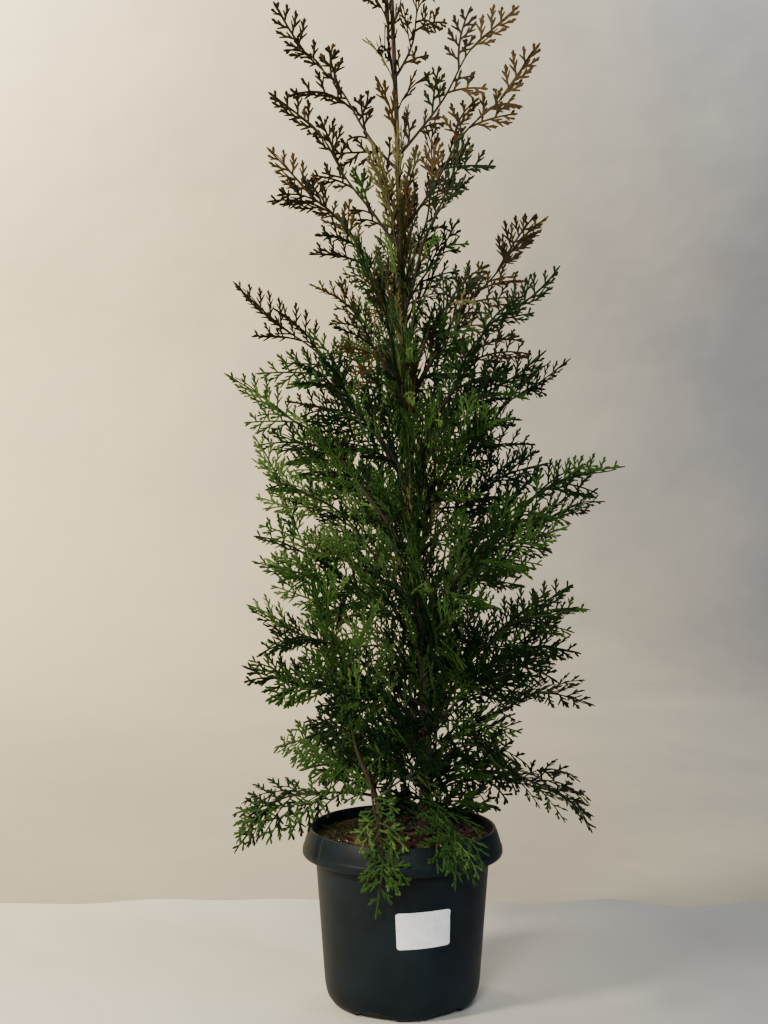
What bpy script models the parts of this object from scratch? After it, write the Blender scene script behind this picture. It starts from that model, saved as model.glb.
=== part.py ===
"""Potted arborvitae: a young conifer about 1.1 m tall in a round nursery pot.

Metres, +Z up. The origin is the centre of the pot's flat underside, the plant is seen from -Y,
and +X is to the right. Every limb and every mass of foliage is grown by one seeded rule:

    leader      a curve that leaves the trunk, climbs, then leans outwards
    bough       the bare first share of a leader, one tapering limb
    mass        the leafy rest of it: a three-sided stem with toothed sprays on alternate sides
"""

import math
import random

import bmesh
import bpy
import numpy as np
from mathutils import Vector
from mathutils.bvhtree import BVHTree

# Gap that every touching pair of solids keeps.
GAP = 0.0003

# Pot: outer radii and heights of the turned shell.
POT_HEIGHT = 0.195
POT_FOOT_RADIUS = 0.0776
POT_HEEL_RADIUS = 0.0868
POT_HEEL_HEIGHT = 0.018
POT_SHOULDER_RADIUS = 0.0974
POT_COLLAR_HEIGHT = 0.030
POT_LIP_RADIUS = 0.1125
POT_RIM_RADIUS = 0.1041
POT_WALL = 0.0020
POT_FLOOR = 0.0030
POT_LEDGE_HEIGHT = 0.0085
POT_SEGMENTS = 36

# Soil, level with a line a little below the rim.
SOIL_TOP = 0.1840
SOIL_CROWN = 0.0015

# Blank label stuck on the front of the pot.
LABEL_WIDTH = 0.060
LABEL_HEIGHT = 0.040
LABEL_THICKNESS = 0.0004
LABEL_CENTRE_HEIGHT = 0.104
LABEL_AZIMUTH = -76.3
LABEL_TILT = 2.0
LABEL_CORNER = 0.003

# Trunk and second stem: height, x, y, radius at each station, from the soil to the tip.
TRUNK = (
    (SOIL_TOP + SOIL_CROWN + GAP, 0.026, 0.004, 0.0102),
    (0.198, 0.026, 0.004, 0.0079),
    (0.225, 0.026, 0.003, 0.0072),
    (0.345, 0.025, 0.000, 0.0062),
    (0.480, 0.015, -0.002, 0.0050),
    (0.640, 0.005, -0.001, 0.0037),
    (0.800, -0.002, 0.001, 0.0031),
    (0.960, -0.006, 0.001, 0.0027),
    (1.110, -0.012, -0.001, 0.0023),
    (1.205, -0.014, -0.002, 0.0017),
)
SECOND_STEM = (
    (SOIL_TOP + SOIL_CROWN + GAP, -0.024, -0.036, 0.0040),
    (0.235, -0.029, -0.042, 0.0027),
    (0.286, -0.049, -0.046, 0.0024),
    (0.353, -0.063, -0.048, 0.0021),
    (0.396, -0.082, -0.048, 0.0018),
    (0.430, -0.087, -0.047, 0.0016),
)

CARRIERS = {"trunk": TRUNK, "second_stem": SECOND_STEM}

# Tiers of leaders up the trunk: height of the lowest foot, azimuth of the first leader and step to
# the next, their lengths in turn, rise at the foot and lift at the tip, bare share of the length,
# reach of the side sprays, and twist of the fans out of the upright. Angles are in degrees;
# azimuth 0 is +X and -90 faces the viewer.
TIERS = (
    (0.203, 174, 92, (0.245, 0.200, 0.205, 0.205), 34, -64, 0.34, 0.070, 60),
    (0.238, 140, 122, (0.220, 0.215, 0.235), 38, -18, 0.0, 0.082, 45),
    (0.285, 188, 121, (0.225, 0.215, 0.200), 44, 8, 0.0, 0.090, 30),
    (0.330, 204, 116, (0.240, 0.230, 0.240), 46, 12, 0.36, 0.092, 24),
    (0.392, 134, 118, (0.235, 0.235, 0.265), 52, 10, 0.0, 0.096, 24),
    (0.436, 194, 148, (0.255, 0.272, 0.245), 58, 16, 0.0, 0.096, 18),
    (0.495, 160, 112, (0.300, 0.250, 0.290), 62, 20, 0.0, 0.090, 12),
    (0.575, 186, 138, (0.295, 0.280, 0.255), 68, 28, 0.0, 0.082, 8),
    (0.655, 238, 114, (0.225, 0.250, 0.240), 68, 36, 0.30, 0.076, 4),
    (0.745, 174, 122, (0.250, 0.225, 0.250), 72, 38, 0.28, 0.072, 0),
    (0.840, 192, 160, (0.220, 0.250), 62, 42, 0.0, 0.068, 0),
    (0.925, 166, 186, (0.230, 0.200), 58, 46, 0.0, 0.064, 0),
    (1.010, 250, 172, (0.180, 0.185), 58, 52, 0.0, 0.056, 0),
    (1.100, 160, 190, (0.135,), 56, 60, 0.0, 0.044, 0),
)
JITTER_AZIMUTH = 9.0
JITTER_PITCH = 5.0
COLLAR_DROOP = 26.0
COLLAR_SHARE = 0.07
FOOT_STEP = 0.016
SWAY = 13.0
FURTHEST_SEAT = 0.25
SEATING_STEPS = 20

# How fast a leader turns from its rise to its lift: a power of the share of its length.
BEND = 1.2

# Leaders on their own, in the same terms with the bend last: the shoot that carries the trunk on
# from its tip, the leafy top that does so for the second stem, and the sprig that hangs from that
# stem over the front of the rim.
CROWN_TIP = (TRUNK[-1][0], 100, 0.100, 86, 88, 0.0, 0.040, 0, 1.0)
STEM_TOP = (SECOND_STEM[-1][0], 158, 0.215, 74, 60, 0.0, 0.070, 0, 1.0)
HANGING_SPRIG = (0.250, -88, 0.148, 16, -104, 0.0, 0.044, 90, 0.70)

# Radii of the limbs: at a leader's foot, where the foliage starts, and at its tip.
BOUGH_RADIUS = 0.0027
STEM_RADIUS = 0.0019
TIP_RADIUS = 0.0009
STEM_END = 0.90
TRUNK_SIDES = 8
TRUNK_RINGS = 23
SECOND_STEM_RINGS = 12
BOUGH_SIDES = 5
BOUGH_RINGS = 5
STEM_SIDES = 3
STEM_RINGS = 7

# Sprays: spacing along the stem, angle to it, and the toothed blade's own proportions.
SPRAY_SPACING = 0.031
SPRAY_ANGLE = 52.0
SPRAY_ROLL = 26.0
SPRAY_SHORTEST = 0.030
TIP_SHARE = 0.72
BLADE_THICKNESS = 0.0016
BLADE_RIB = 0.0016
TOOTH_PITCH = 0.0240
TOOTH_ANGLE = 46.0
TOOTH_SHARE = 0.40
CLEARANCE = 0.0012

# A spray that would leave its space or touch a neighbour is tried again at these shares of its
# length, and then left out.
SHRINKS = (1.0, 0.78, 0.6, 0.45)
NEIGHBOURS_WITHIN = 0.35


def clear_scene():
    for old in list(bpy.data.objects):
        bpy.data.objects.remove(old, do_unlink=True)


def material(name, colour, roughness, metallic=0.0):
    """One Principled material; colour is linear RGB."""
    made = bpy.data.materials.new(name)
    made.use_nodes = True
    shader = made.node_tree.nodes["Principled BSDF"]
    shader.inputs["Base Color"].default_value = (*colour, 1.0)
    shader.inputs["Roughness"].default_value = roughness
    shader.inputs["Metallic"].default_value = metallic
    made.diffuse_color = (*colour, 1.0)
    return made


def add_object(name, mesh, finish, collection=None):
    made = bpy.data.objects.new(name, mesh)
    made.data.materials.append(finish)
    (collection or bpy.context.scene.collection).objects.link(made)
    return made


def mesh_from(name, points, faces, smooth_angle=None):
    """A mesh with its normals facing outwards, smooth where its faces turn less than the angle."""
    mesh = bpy.data.meshes.new(name)
    mesh.from_pydata([tuple(p) for p in points], [], faces)
    work = bmesh.new()
    work.from_mesh(mesh)
    bmesh.ops.recalc_face_normals(work, faces=work.faces)
    work.to_mesh(mesh)
    work.free()
    if smooth_angle is not None:
        mesh.shade_smooth()
        mesh.set_sharp_from_angle(angle=math.radians(smooth_angle))
    return mesh


def turned_mesh(name, profile, segments):
    """A closed turned body: the profile runs from the axis, round the section, back to the axis."""
    points = [(0.0, 0.0, profile[0][1])]
    for radius, height in profile[1:-1]:
        for k in range(segments):
            angle = 2 * math.pi * k / segments
            points.append((radius * math.cos(angle), radius * math.sin(angle), height))
    points.append((0.0, 0.0, profile[-1][1]))
    rings = len(profile) - 2
    last = len(points) - 1
    faces = []
    for k in range(segments):
        following = (k + 1) % segments
        faces.append((0, 1 + following, 1 + k))
        for ring in range(rings - 1):
            low = 1 + ring * segments
            high = low + segments
            faces.append((low + k, low + following, high + following, high + k))
        top = 1 + (rings - 1) * segments
        faces.append((last, top + k, top + following))
    return mesh_from(name, points, faces, 40)


def arc(centre, radius, start, end, steps):
    """Points of a round in a profile, from one angle to another, in degrees."""
    turn = [math.radians(start + (end - start) * k / steps) for k in range(steps + 1)]
    return [(centre[0] + radius * math.cos(a), centre[1] + radius * math.sin(a)) for a in turn]


def pot_wall_radius(height):
    """Outer radius of the plain wall between its heel and its collar."""
    shoulder = POT_HEIGHT - POT_COLLAR_HEIGHT
    share = (height - POT_HEEL_HEIGHT) / (shoulder - POT_HEEL_HEIGHT)
    return POT_HEEL_RADIUS + share * (POT_SHOULDER_RADIUS - POT_HEEL_RADIUS)


def make_pot(finish):
    shoulder = POT_HEIGHT - POT_COLLAR_HEIGHT
    lip_round = 0.004
    outside = [(0.0, 0.0), (POT_FOOT_RADIUS, 0.0)]
    outside += [(0.0835, 0.006), (POT_HEEL_RADIUS, POT_HEEL_HEIGHT)]
    outside += [(POT_SHOULDER_RADIUS, shoulder)]
    lip_centre = (POT_LIP_RADIUS - lip_round, shoulder + lip_round)
    outside += arc(lip_centre, lip_round, -90, 0, 3)
    outside += [(POT_LIP_RADIUS - 0.0008, shoulder + POT_LEDGE_HEIGHT)]
    outside += [(POT_LIP_RADIUS - 0.0050, POT_HEIGHT - 0.009)]
    outside += [(POT_RIM_RADIUS, POT_HEIGHT)]
    inside = [(POT_RIM_RADIUS - POT_WALL, POT_HEIGHT)]
    inside += [(POT_SHOULDER_RADIUS - POT_WALL, shoulder)]
    inside += [(POT_HEEL_RADIUS - POT_WALL, POT_HEEL_HEIGHT)]
    inside += [(POT_FOOT_RADIUS, POT_FLOOR), (0.0, POT_FLOOR)]
    add_object("pot", turned_mesh("pot", outside + inside, POT_SEGMENTS), finish)


def make_soil(finish):
    shoulder = POT_HEIGHT - POT_COLLAR_HEIGHT
    inset = POT_WALL + 2 * GAP
    rim_share = (SOIL_TOP - shoulder) / POT_COLLAR_HEIGHT
    top_radius = POT_SHOULDER_RADIUS + rim_share * (POT_RIM_RADIUS - POT_SHOULDER_RADIUS) - inset
    floor = POT_FLOOR + GAP
    profile = [(0.0, floor), (POT_FOOT_RADIUS - 2 * GAP, floor)]
    profile += [(POT_HEEL_RADIUS - inset, POT_HEEL_HEIGHT), (POT_SHOULDER_RADIUS - inset, shoulder)]
    profile += [(top_radius, SOIL_TOP - 0.002), (top_radius * 0.9, SOIL_TOP)]
    profile += [(top_radius * 0.5, SOIL_TOP + SOIL_CROWN), (0.0, SOIL_TOP + SOIL_CROWN)]
    add_object("soil", turned_mesh("soil", profile, POT_SEGMENTS), finish)


def make_label(finish):
    """A rounded rectangle bent round the cone of the wall, a gap clear of it."""
    outline = []
    for corner, (sx, sz) in enumerate(((1, 1), (-1, 1), (-1, -1), (1, -1))):
        centre = (sx * (LABEL_WIDTH / 2 - LABEL_CORNER), sz * (LABEL_HEIGHT / 2 - LABEL_CORNER))
        outline += arc(centre, LABEL_CORNER, 90 * corner, 90 * corner + 90, 2)
    columns = 8
    work = bmesh.new()
    flat = [work.verts.new((x, 0.0, z)) for x, z in outline]
    work.faces.new(flat)
    for k in range(1, columns):
        across = LABEL_WIDTH * (k / columns - 0.5)
        everything = work.verts[:] + work.edges[:] + work.faces[:]
        bmesh.ops.bisect_plane(work, geom=everything, plane_co=(across, 0, 0), plane_no=(1, 0, 0))
    front = work.faces[:]
    solid = bmesh.ops.extrude_face_region(work, geom=front)
    outer = {v for v in solid["geom"] if isinstance(v, bmesh.types.BMVert)}
    tilt = math.radians(LABEL_TILT)
    for v in work.verts:
        x = v.co.x * math.cos(tilt) - v.co.z * math.sin(tilt)
        z = v.co.x * math.sin(tilt) + v.co.z * math.cos(tilt) + LABEL_CENTRE_HEIGHT
        lift = GAP + LABEL_THICKNESS if v in outer else GAP
        radius = pot_wall_radius(z) + lift
        angle = math.radians(LABEL_AZIMUTH) + x / pot_wall_radius(LABEL_CENTRE_HEIGHT)
        v.co = (radius * math.cos(angle), radius * math.sin(angle), z)
    bmesh.ops.recalc_face_normals(work, faces=work.faces)
    mesh = bpy.data.meshes.new("label")
    work.to_mesh(mesh)
    work.free()
    add_object("label", mesh, finish)


def smooth_stations(stations, count):
    """Catmull-Rom curve through the stations, evenly stepped from the first to the last."""
    rows = np.array(stations, float)
    last = len(rows) - 1
    t = np.linspace(0, last, count)
    i = np.minimum(t.astype(int), last - 1)
    f = (t - i)[:, None]
    before = rows[np.maximum(i - 1, 0)]
    after = rows[np.minimum(i + 2, last)]
    here, there = rows[i], rows[i + 1]
    curve = 2 * here + (there - before) * f
    curve += (2 * before - 5 * here + 4 * there - after) * f**2
    curve += (3 * here - before - 3 * there + after) * f**3
    return curve / 2


def unit(vectors):
    return vectors / np.linalg.norm(vectors, axis=-1, keepdims=True)


def limb_rings(path, radii, sides):
    """Rings of points square to the path at each of its points, as (ring, side, xyz)."""
    ahead = unit(np.gradient(path, axis=0))
    across = unit(np.cross(ahead, np.array([0.31, 0.95, 0.05])))
    over = np.cross(ahead, across)
    turn = 2 * math.pi * np.arange(sides) / sides
    ring = np.cos(turn)[None, :, None] * across[:, None] + np.sin(turn)[None, :, None] * over[:, None]
    return path[:, None] + radii[:, None, None] * ring


def limb_mesh(name, path, radii, sides, smooth=True):
    """A tapering tube through its rings, capped flat."""
    points = limb_rings(path, radii, sides).reshape(-1, 3)
    faces = [tuple(range(sides)), tuple(range(len(points) - sides, len(points)))]
    for low in range(0, len(points) - sides, sides):
        for k in range(sides):
            following = (k + 1) % sides
            faces.append((low + k, low + following, low + sides + following, low + sides + k))
    return mesh_from(name, points, faces, 50 if smooth else None)


def flat_ended(path):
    """The path with its first steps straight up, so that its first ring is level."""
    eased = path.copy()
    eased[1, :2] = eased[0, :2]
    return eased


def make_upright(name, stations, rings, sides, finish):
    curve = smooth_stations(stations, rings)
    path = flat_ended(curve[:, [1, 2, 0]])
    add_object(name, limb_mesh(name, path, curve[:, 3], sides), finish)


def point_on(stations, height):
    """Centre of an upright at a height."""
    rows = smooth_stations(stations, 80)
    x, y = (np.interp(height, rows[:, 0], rows[:, k]) for k in (1, 2))
    return np.array([x, y, height])


def height_above(tree, point):
    """Distance from a point to a solid's skin, negative inside it."""
    place = Vector(point)
    nearest, normal, _, distance = tree.find_nearest(place)
    return distance if (place - nearest).dot(normal) >= 0 else -distance


class Leader:
    """One leader: its curve from foot to tip, and the plane that its sprays spread in."""

    steps = 48

    def __init__(self, name, carrier, foot, azimuth, length, rise, lift, bare, reach, twist, bend=BEND):
        self.name = name
        self.carrier = carrier
        self.bare = bare
        self.reach = reach
        self.length = length
        self.rng = random.Random(name)
        azimuth += self.rng.uniform(-JITTER_AZIMUTH, JITTER_AZIMUTH)
        rise += self.rng.uniform(-JITTER_PITCH, JITTER_PITCH)
        lift += self.rng.uniform(-JITTER_PITCH, JITTER_PITCH)
        sway = math.radians(self.rng.uniform(-SWAY, SWAY))
        turn = math.radians(twist + self.rng.uniform(-SWAY, SWAY))
        stations = CARRIERS[carrier]
        carries_on = foot >= stations[-1][0]
        droop = 0.0 if carries_on else COLLAR_DROOP
        s = np.linspace(0, 1, self.steps)
        pitch = np.radians(rise + (lift - rise) * s**bend - droop * np.exp(-s / COLLAR_SHARE))
        heading = math.radians(azimuth) + sway * np.sin(math.pi * s)
        level = np.cos(pitch)
        ahead = np.stack([level * np.cos(heading), level * np.sin(heading), np.sin(pitch)], -1)
        middle = (ahead[1:] + ahead[:-1]) / 2
        run = np.cumsum(np.vstack([np.zeros(3), middle * length / (self.steps - 1)]), 0)
        self.first = 0.0
        self.s = s
        self.path = point_on(stations, foot) + run
        self.ahead = ahead
        tangent = np.stack([-np.sin(heading), np.cos(heading), np.zeros(self.steps)], -1)
        above = np.cross(ahead, tangent)
        self.normal = tangent * math.cos(turn) + above * math.sin(turn)

    def at(self, share):
        """Point, direction and fan normal at a share of the length."""
        values = (self.path, self.ahead, self.normal)
        return [np.array([np.interp(share, self.s, v[:, k]) for k in range(3)]) for v in values]

    def stretch(self, start, end, count):
        return np.array([self.at(share)[0] for share in np.linspace(start, end, count)])

    def first_limb(self):
        """Path, radii and sides of the solid that meets the trunk: a bough, or the mass's stem."""
        if self.bare:
            path = self.stretch(self.first, self.bare - GAP / self.length, BOUGH_RINGS)
            return path, np.linspace(BOUGH_RADIUS, STEM_RADIUS, BOUGH_RINGS), BOUGH_SIDES
        path = self.stretch(self.first, STEM_END, STEM_RINGS)
        return path, np.linspace(BOUGH_RADIUS, TIP_RADIUS, STEM_RINGS), STEM_SIDES

    def mass_stem(self):
        """The same for the stem of the mass."""
        if not self.bare:
            return self.first_limb()
        path = self.stretch(self.bare, STEM_END, STEM_RINGS)
        return path, np.linspace(STEM_RADIUS, TIP_RADIUS, STEM_RINGS), STEM_SIDES

    def seat(self, tree):
        """Slides the foot along the curve until its flat end lies one gap clear of its carrier."""
        low, high = 0.0, FURTHEST_SEAT
        for _ in range(SEATING_STEPS):
            self.first = (low + high) / 2
            ring = limb_rings(*self.first_limb())[0]
            end = np.vstack([ring, (ring + np.roll(ring, 1, axis=0)) / 2, ring.mean(0)])
            if min(height_above(tree, point) for point in end) < GAP:
                low = self.first
            else:
                high = self.first
        self.first = high

    def leaf_start(self):
        return max(self.bare, self.first)

    def middle(self):
        return self.path[self.steps // 2]


def grow_leaders():
    """Every leader of the plant: tier by tier up the trunk, then the three on their own."""
    leaders = []
    for tier, (foot, azimuth, step, lengths, *habit) in enumerate(TIERS, 1):
        for k, length in enumerate(lengths):
            name = f"{tier:02d}{'abcd'[k]}"
            height = foot + FOOT_STEP * k
            leaders.append(Leader(name, "trunk", height, azimuth + step * k, length, *habit))
    leaders.append(Leader("crown_tip", "trunk", *CROWN_TIP))
    leaders.append(Leader("stem_top", "second_stem", *STEM_TOP))
    leaders.append(Leader("hanging_sprig", "second_stem", *HANGING_SPRIG))
    return leaders


def toothed_blade(root, ahead, normal, length, thickness, side):
    """A spray: a flat underside cut into forward-swept teeth, and a ridge along its rib above.

    Each pair of teeth shares one point of the ridge. The teeth of the second flank sit a little
    further along, so that the two flanks alternate.
    """
    across = np.cross(normal, ahead) * side
    pairs = max(2, round(length / TOOTH_PITCH))
    pitch = length / (pairs + 0.55)
    swept = math.radians(TOOTH_ANGLE)
    valleys = ([], [])
    tips = ([], [])
    for flank, (sign, lag) in enumerate(((1, 0.12), (-1, 0.50))):
        for k in range(pairs + 1):
            along = (k + lag) * pitch
            valleys[flank].append((along, sign * BLADE_RIB))
            place = along / length
            tooth = TOOTH_SHARE * length * math.sin(math.pi * (0.26 + 0.66 * min(place, 1.0))) ** 0.75
            tooth = min(tooth, 1.15 * max(1.06 - place, 0.0) * length)
            reach = (along + tooth * math.cos(swept), sign * (BLADE_RIB + tooth * math.sin(swept)))
            tips[flank].append(reach)
    ridge = [((k + 0.55) * pitch, 0.0) for k in range(pairs)]
    outline = [(0.0, -BLADE_RIB)]
    for k in range(pairs):
        outline += [valleys[1][k], tips[1][k]]
    outline += [valleys[1][pairs], (length, 0.0), valleys[0][pairs]]
    for k in reversed(range(pairs)):
        outline += [tips[0][k], valleys[0][k]]
    outline += [(0.0, BLADE_RIB)]
    points = [root + a * ahead + b * across for a, b in outline]
    points += [root + a * ahead + thickness * normal for a, b in ridge]
    crest = len(outline)
    last = len(outline) - 1
    faces = [tuple(range(crest))]
    for k in range(pairs):
        low, high = 1 + 2 * k, last - 1 - 2 * k
        faces += [(crest + k, low, low + 1), (crest + k, low + 1, low + 2)]
        faces += [(crest + k, high - 1, high), (crest + k, high - 2, high - 1)]
        if k < pairs - 1:
            faces += [(crest + k, low + 2, crest + k + 1), (crest + k, crest + k + 1, high - 2)]
    end = crest + pairs - 1
    tip = 2 + 2 * pairs
    faces += [(end, tip - 1, tip), (end, tip, tip + 1)]
    faces += [(crest, 0, 1), (crest, last - 1, last), (crest, last, 0)]
    return points, faces


def bvh_of(points, faces):
    return BVHTree.FromPolygons([Vector(p) for p in points], faces, all_triangles=False)


def bvh_of_mesh(mesh):
    return bvh_of([v.co for v in mesh.vertices], [tuple(p.vertices) for p in mesh.polygons])


def bvh_of_object(made):
    return bvh_of_mesh(made.data)


def in_own_space(points, leader, leaders):
    """True where every point lies nearer to its own leader's leafy stretch than to any other's."""
    tips = np.array(points)

    def nearest(other):
        path = other.path[other.s >= other.leaf_start() - 1e-9]
        return np.linalg.norm(tips[:, None] - path[None], axis=-1).min(1)

    own = nearest(leader)
    for other in leaders:
        if other is leader:
            continue
        if np.linalg.norm(other.middle() - leader.middle()) > NEIGHBOURS_WITHIN:
            continue
        if (own + CLEARANCE > nearest(other)).any():
            return False
    return True


def grow_sprays(leader, leaders, others):
    """The blades of one mass, each kept to its own space and clear of every limb and mass."""
    rng = leader.rng
    start = leader.leaf_start()
    leafy = (1 - start) * leader.length
    count = max(4, round(leafy / SPRAY_SPACING))
    blades = []
    side = 1
    for k in range(count):
        share = start + (1 - start) * (0.05 + 0.86 * k / count)
        through = (k + 0.5) / count
        side = -side
        point, ahead, normal = leader.at(share)
        across = np.cross(normal, ahead)
        angle = math.radians(SPRAY_ANGLE - 14 * through + rng.uniform(-6, 6))
        roll = math.radians(rng.uniform(-SPRAY_ROLL, SPRAY_ROLL))
        out = across * math.cos(roll) + normal * math.sin(roll)
        direction = unit(ahead * math.cos(angle) + side * out * math.sin(angle))
        face = unit(np.cross(direction, np.cross(normal, direction)))
        wanted = leader.reach * (math.sin(math.pi * (0.30 + 0.62 * through)) ** 0.8)
        for shrink in SHRINKS:
            length = max(wanted * shrink, SPRAY_SHORTEST)
            blade = toothed_blade(point, direction, face, length, BLADE_THICKNESS, side)
            if not in_own_space(blade[0], leader, leaders):
                continue
            below = point - CLEARANCE * face
            thick = BLADE_THICKNESS + 2 * CLEARANCE
            tree = bvh_of(*toothed_blade(below, direction, face, length + CLEARANCE, thick, side))
            if any(tree.overlap(other) for other in others):
                continue
            blades.append(blade)
            break
    length = TIP_SHARE * leader.reach
    point, ahead, normal = leader.at(1 - length / leader.length)
    blades.append(toothed_blade(point, ahead, normal, length, BLADE_THICKNESS, side))
    return blades


def fuse(name, stem, blades, finish):
    """Joins the stem and its blades, whose roots are sunk in it, into one solid."""
    made = add_object(name, stem, finish)
    parts = bpy.data.collections.new(name + "_parts")
    bpy.context.scene.collection.children.link(parts)
    for k, (points, faces) in enumerate(blades):
        add_object(f"{name}_blade_{k}", mesh_from(name, points, faces), finish, parts)
    union = made.modifiers.new("union", "BOOLEAN")
    union.operation = "UNION"
    union.operand_type = "COLLECTION"
    union.collection = parts
    union.solver = "EXACT"
    bpy.context.view_layer.update()
    joined = bpy.data.meshes.new_from_object(made.evaluated_get(bpy.context.evaluated_depsgraph_get()))
    made.modifiers.clear()
    made.data = joined
    for used in list(parts.objects):
        bpy.data.objects.remove(used, do_unlink=True)
    bpy.data.collections.remove(parts)
    return made


def make_crown(bark, foliage):
    carriers = {name: bvh_of_object(bpy.data.objects[name]) for name in ("trunk", "second_stem")}
    solids = {name: bvh_of_object(bpy.data.objects[name]) for name in ("pot", "soil")}
    solids.update(carriers)
    leaders = grow_leaders()
    for leader in leaders:
        leader.seat(carriers[leader.carrier])
        if leader.bare:
            name = "bough_" + leader.name
            bough = add_object(name, limb_mesh(name, *leader.first_limb()), bark)
            solids[name] = bvh_of_object(bough)
    stems = {}
    for leader in leaders:
        stems[leader.name] = limb_mesh("mass_" + leader.name, *leader.mass_stem(), smooth=False)
        solids[leader.name] = bvh_of_mesh(stems[leader.name])
    for leader in leaders:
        own = [name for name in solids if name.startswith(leader.name)]
        others = [tree for name, tree in solids.items() if name not in own]
        blades = grow_sprays(leader, leaders, others)
        for k, blade in enumerate(blades):
            solids[f"{leader.name}_{k}"] = bvh_of(*blade)
        fuse("mass_" + leader.name, stems[leader.name], blades, foliage)


clear_scene()
bark = material("bark", (0.16, 0.10, 0.075), 0.85)
make_pot(material("pot_plastic", (0.022, 0.026, 0.030), 0.55))
make_soil(material("peat_soil", (0.035, 0.022, 0.015), 0.95))
make_label(material("label_paper", (0.80, 0.80, 0.78), 0.6))
make_upright("trunk", TRUNK, TRUNK_RINGS, TRUNK_SIDES, bark)
make_upright("second_stem", SECOND_STEM, SECOND_STEM_RINGS, BOUGH_SIDES, bark)
make_crown(bark, material("foliage", (0.045, 0.085, 0.025), 0.6))
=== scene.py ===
"""The looks of a potted brabant arborvitae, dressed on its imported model.

Metres, +Z up. The pot stands on z = 0 round the origin, azimuths are in degrees from +X, and the
viewer stands on the -Y side. The sections follow the plant from the pot upwards: container,
potting soil, label, the two stems, the boughs, the flat sprays of scale leaves, and the view.
"""

import math
import random

import bpy
import numpy as np
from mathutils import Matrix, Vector
from mathutils.bvhtree import BVHTree


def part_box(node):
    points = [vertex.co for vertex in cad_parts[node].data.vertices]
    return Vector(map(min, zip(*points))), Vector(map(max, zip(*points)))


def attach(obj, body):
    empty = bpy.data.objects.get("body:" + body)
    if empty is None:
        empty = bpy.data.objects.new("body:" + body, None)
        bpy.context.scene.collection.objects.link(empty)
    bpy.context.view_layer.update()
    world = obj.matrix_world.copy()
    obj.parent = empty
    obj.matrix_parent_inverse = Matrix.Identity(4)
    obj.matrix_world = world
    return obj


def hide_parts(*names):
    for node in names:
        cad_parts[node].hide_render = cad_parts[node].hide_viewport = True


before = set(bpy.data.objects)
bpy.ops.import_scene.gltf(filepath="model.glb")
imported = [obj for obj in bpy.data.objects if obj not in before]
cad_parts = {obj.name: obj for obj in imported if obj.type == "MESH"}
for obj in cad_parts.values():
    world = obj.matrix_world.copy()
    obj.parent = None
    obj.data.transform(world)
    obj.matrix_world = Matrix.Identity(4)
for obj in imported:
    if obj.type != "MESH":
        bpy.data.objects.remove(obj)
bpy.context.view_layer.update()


# Pot. A round nursery container of about five litres, in black-green polypropylene: injection
# moulded with a thin wall, a broad turned-down collar to carry it by, and a foot cut into
# arches so that water drains away.

POT_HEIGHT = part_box("pot")[1].z
POT_LIP_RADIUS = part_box("pot")[1].x
POT_COLLAR_HEIGHT = 0.030
POT_SHOULDER = (0.0974, POT_HEIGHT - POT_COLLAR_HEIGHT)
POT_HEEL = (0.0868, 0.018)
POT_FOOT_RADIUS = 0.0776
POT_RIM_RADIUS = 0.1041
POT_WALL = 0.0020
POT_ARCHES = 6
POT_ARCH_HEIGHT = 0.0085
POT_ARCH_HALF = 17.0
POT_ARCH_DEPTH = 0.0042
POT_FIRST_ARCH = -113.0
POT_CREASE_AZIMUTH = -147.0
POT_CREASE_DEPTH = 0.0016
POT_CREASE_WIDTH = 0.0026
POT_ROW_STEP = 0.0026
POT_COLUMNS = 216


def linear(code):
    """Linear RGBA of an sRGB hex code: ((c + 0.055) / 1.055) ** 2.4, or c / 12.92 where dark."""
    parts = [int(code[k:k + 2], 16) / 255 for k in (0, 2, 4)]
    return (*(((c + 0.055) / 1.055) ** 2.4 if c > 0.04045 else c / 12.92 for c in parts), 1.0)


def add_node(tree, kind, values=None, links=None, **settings):
    """A shader node with its settings, its input values, and links from other nodes' outputs."""
    made = tree.nodes.new(kind)
    for name, value in settings.items():
        setattr(made, name, value)
    for name, value in (values or {}).items():
        made.inputs[name].default_value = value
    for name, output in (links or {}).items():
        tree.links.new(output, made.inputs[name])
    return made


def start_finish(name, colour, roughness, specular):
    """A material with its shader's plain values, and the piece's own place as a node."""
    finish = bpy.data.materials.new(name)
    finish.use_nodes = True
    tree = finish.node_tree
    shader = tree.nodes["Principled BSDF"]
    shader.inputs["Base Color"].default_value = linear(colour)
    shader.inputs["Roughness"].default_value = roughness
    shader.inputs["Specular IOR Level"].default_value = specular
    place = add_node(tree, "ShaderNodeTexCoord").outputs["Object"]
    return finish, tree, shader, place


def noise(tree, place, millimetres, detail):
    """A noise from 0 to 1 over a place, whose features are that many millimetres apart."""
    values = {"Scale": 1000 / millimetres, "Detail": detail}
    return add_node(tree, "ShaderNodeTexNoise", values, {"Vector": place}).outputs["Fac"]


def two_tone(tree, shader, factor, low, high, span=(0.35, 0.65)):
    """Colours the shader from the low tone to the high one as the factor crosses the span."""
    ramp = add_node(tree, "ShaderNodeValToRGB", links={"Fac": factor})
    for element, position, colour in zip(ramp.color_ramp.elements, span, (low, high)):
        element.position = position
        element.color = linear(colour)
    tree.links.new(ramp.outputs["Color"], shader.inputs["Base Color"])
    return ramp


def relief(tree, shader, height, millimetres, strength=1.0):
    """Bump from a height of 0 to 1 that stands for that many millimetres."""
    values = {"Strength": strength, "Distance": millimetres / 1000}
    bump = add_node(tree, "ShaderNodeBump", values, {"Height": height})
    tree.links.new(bump.outputs["Normal"], shader.inputs["Normal"])


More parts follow.
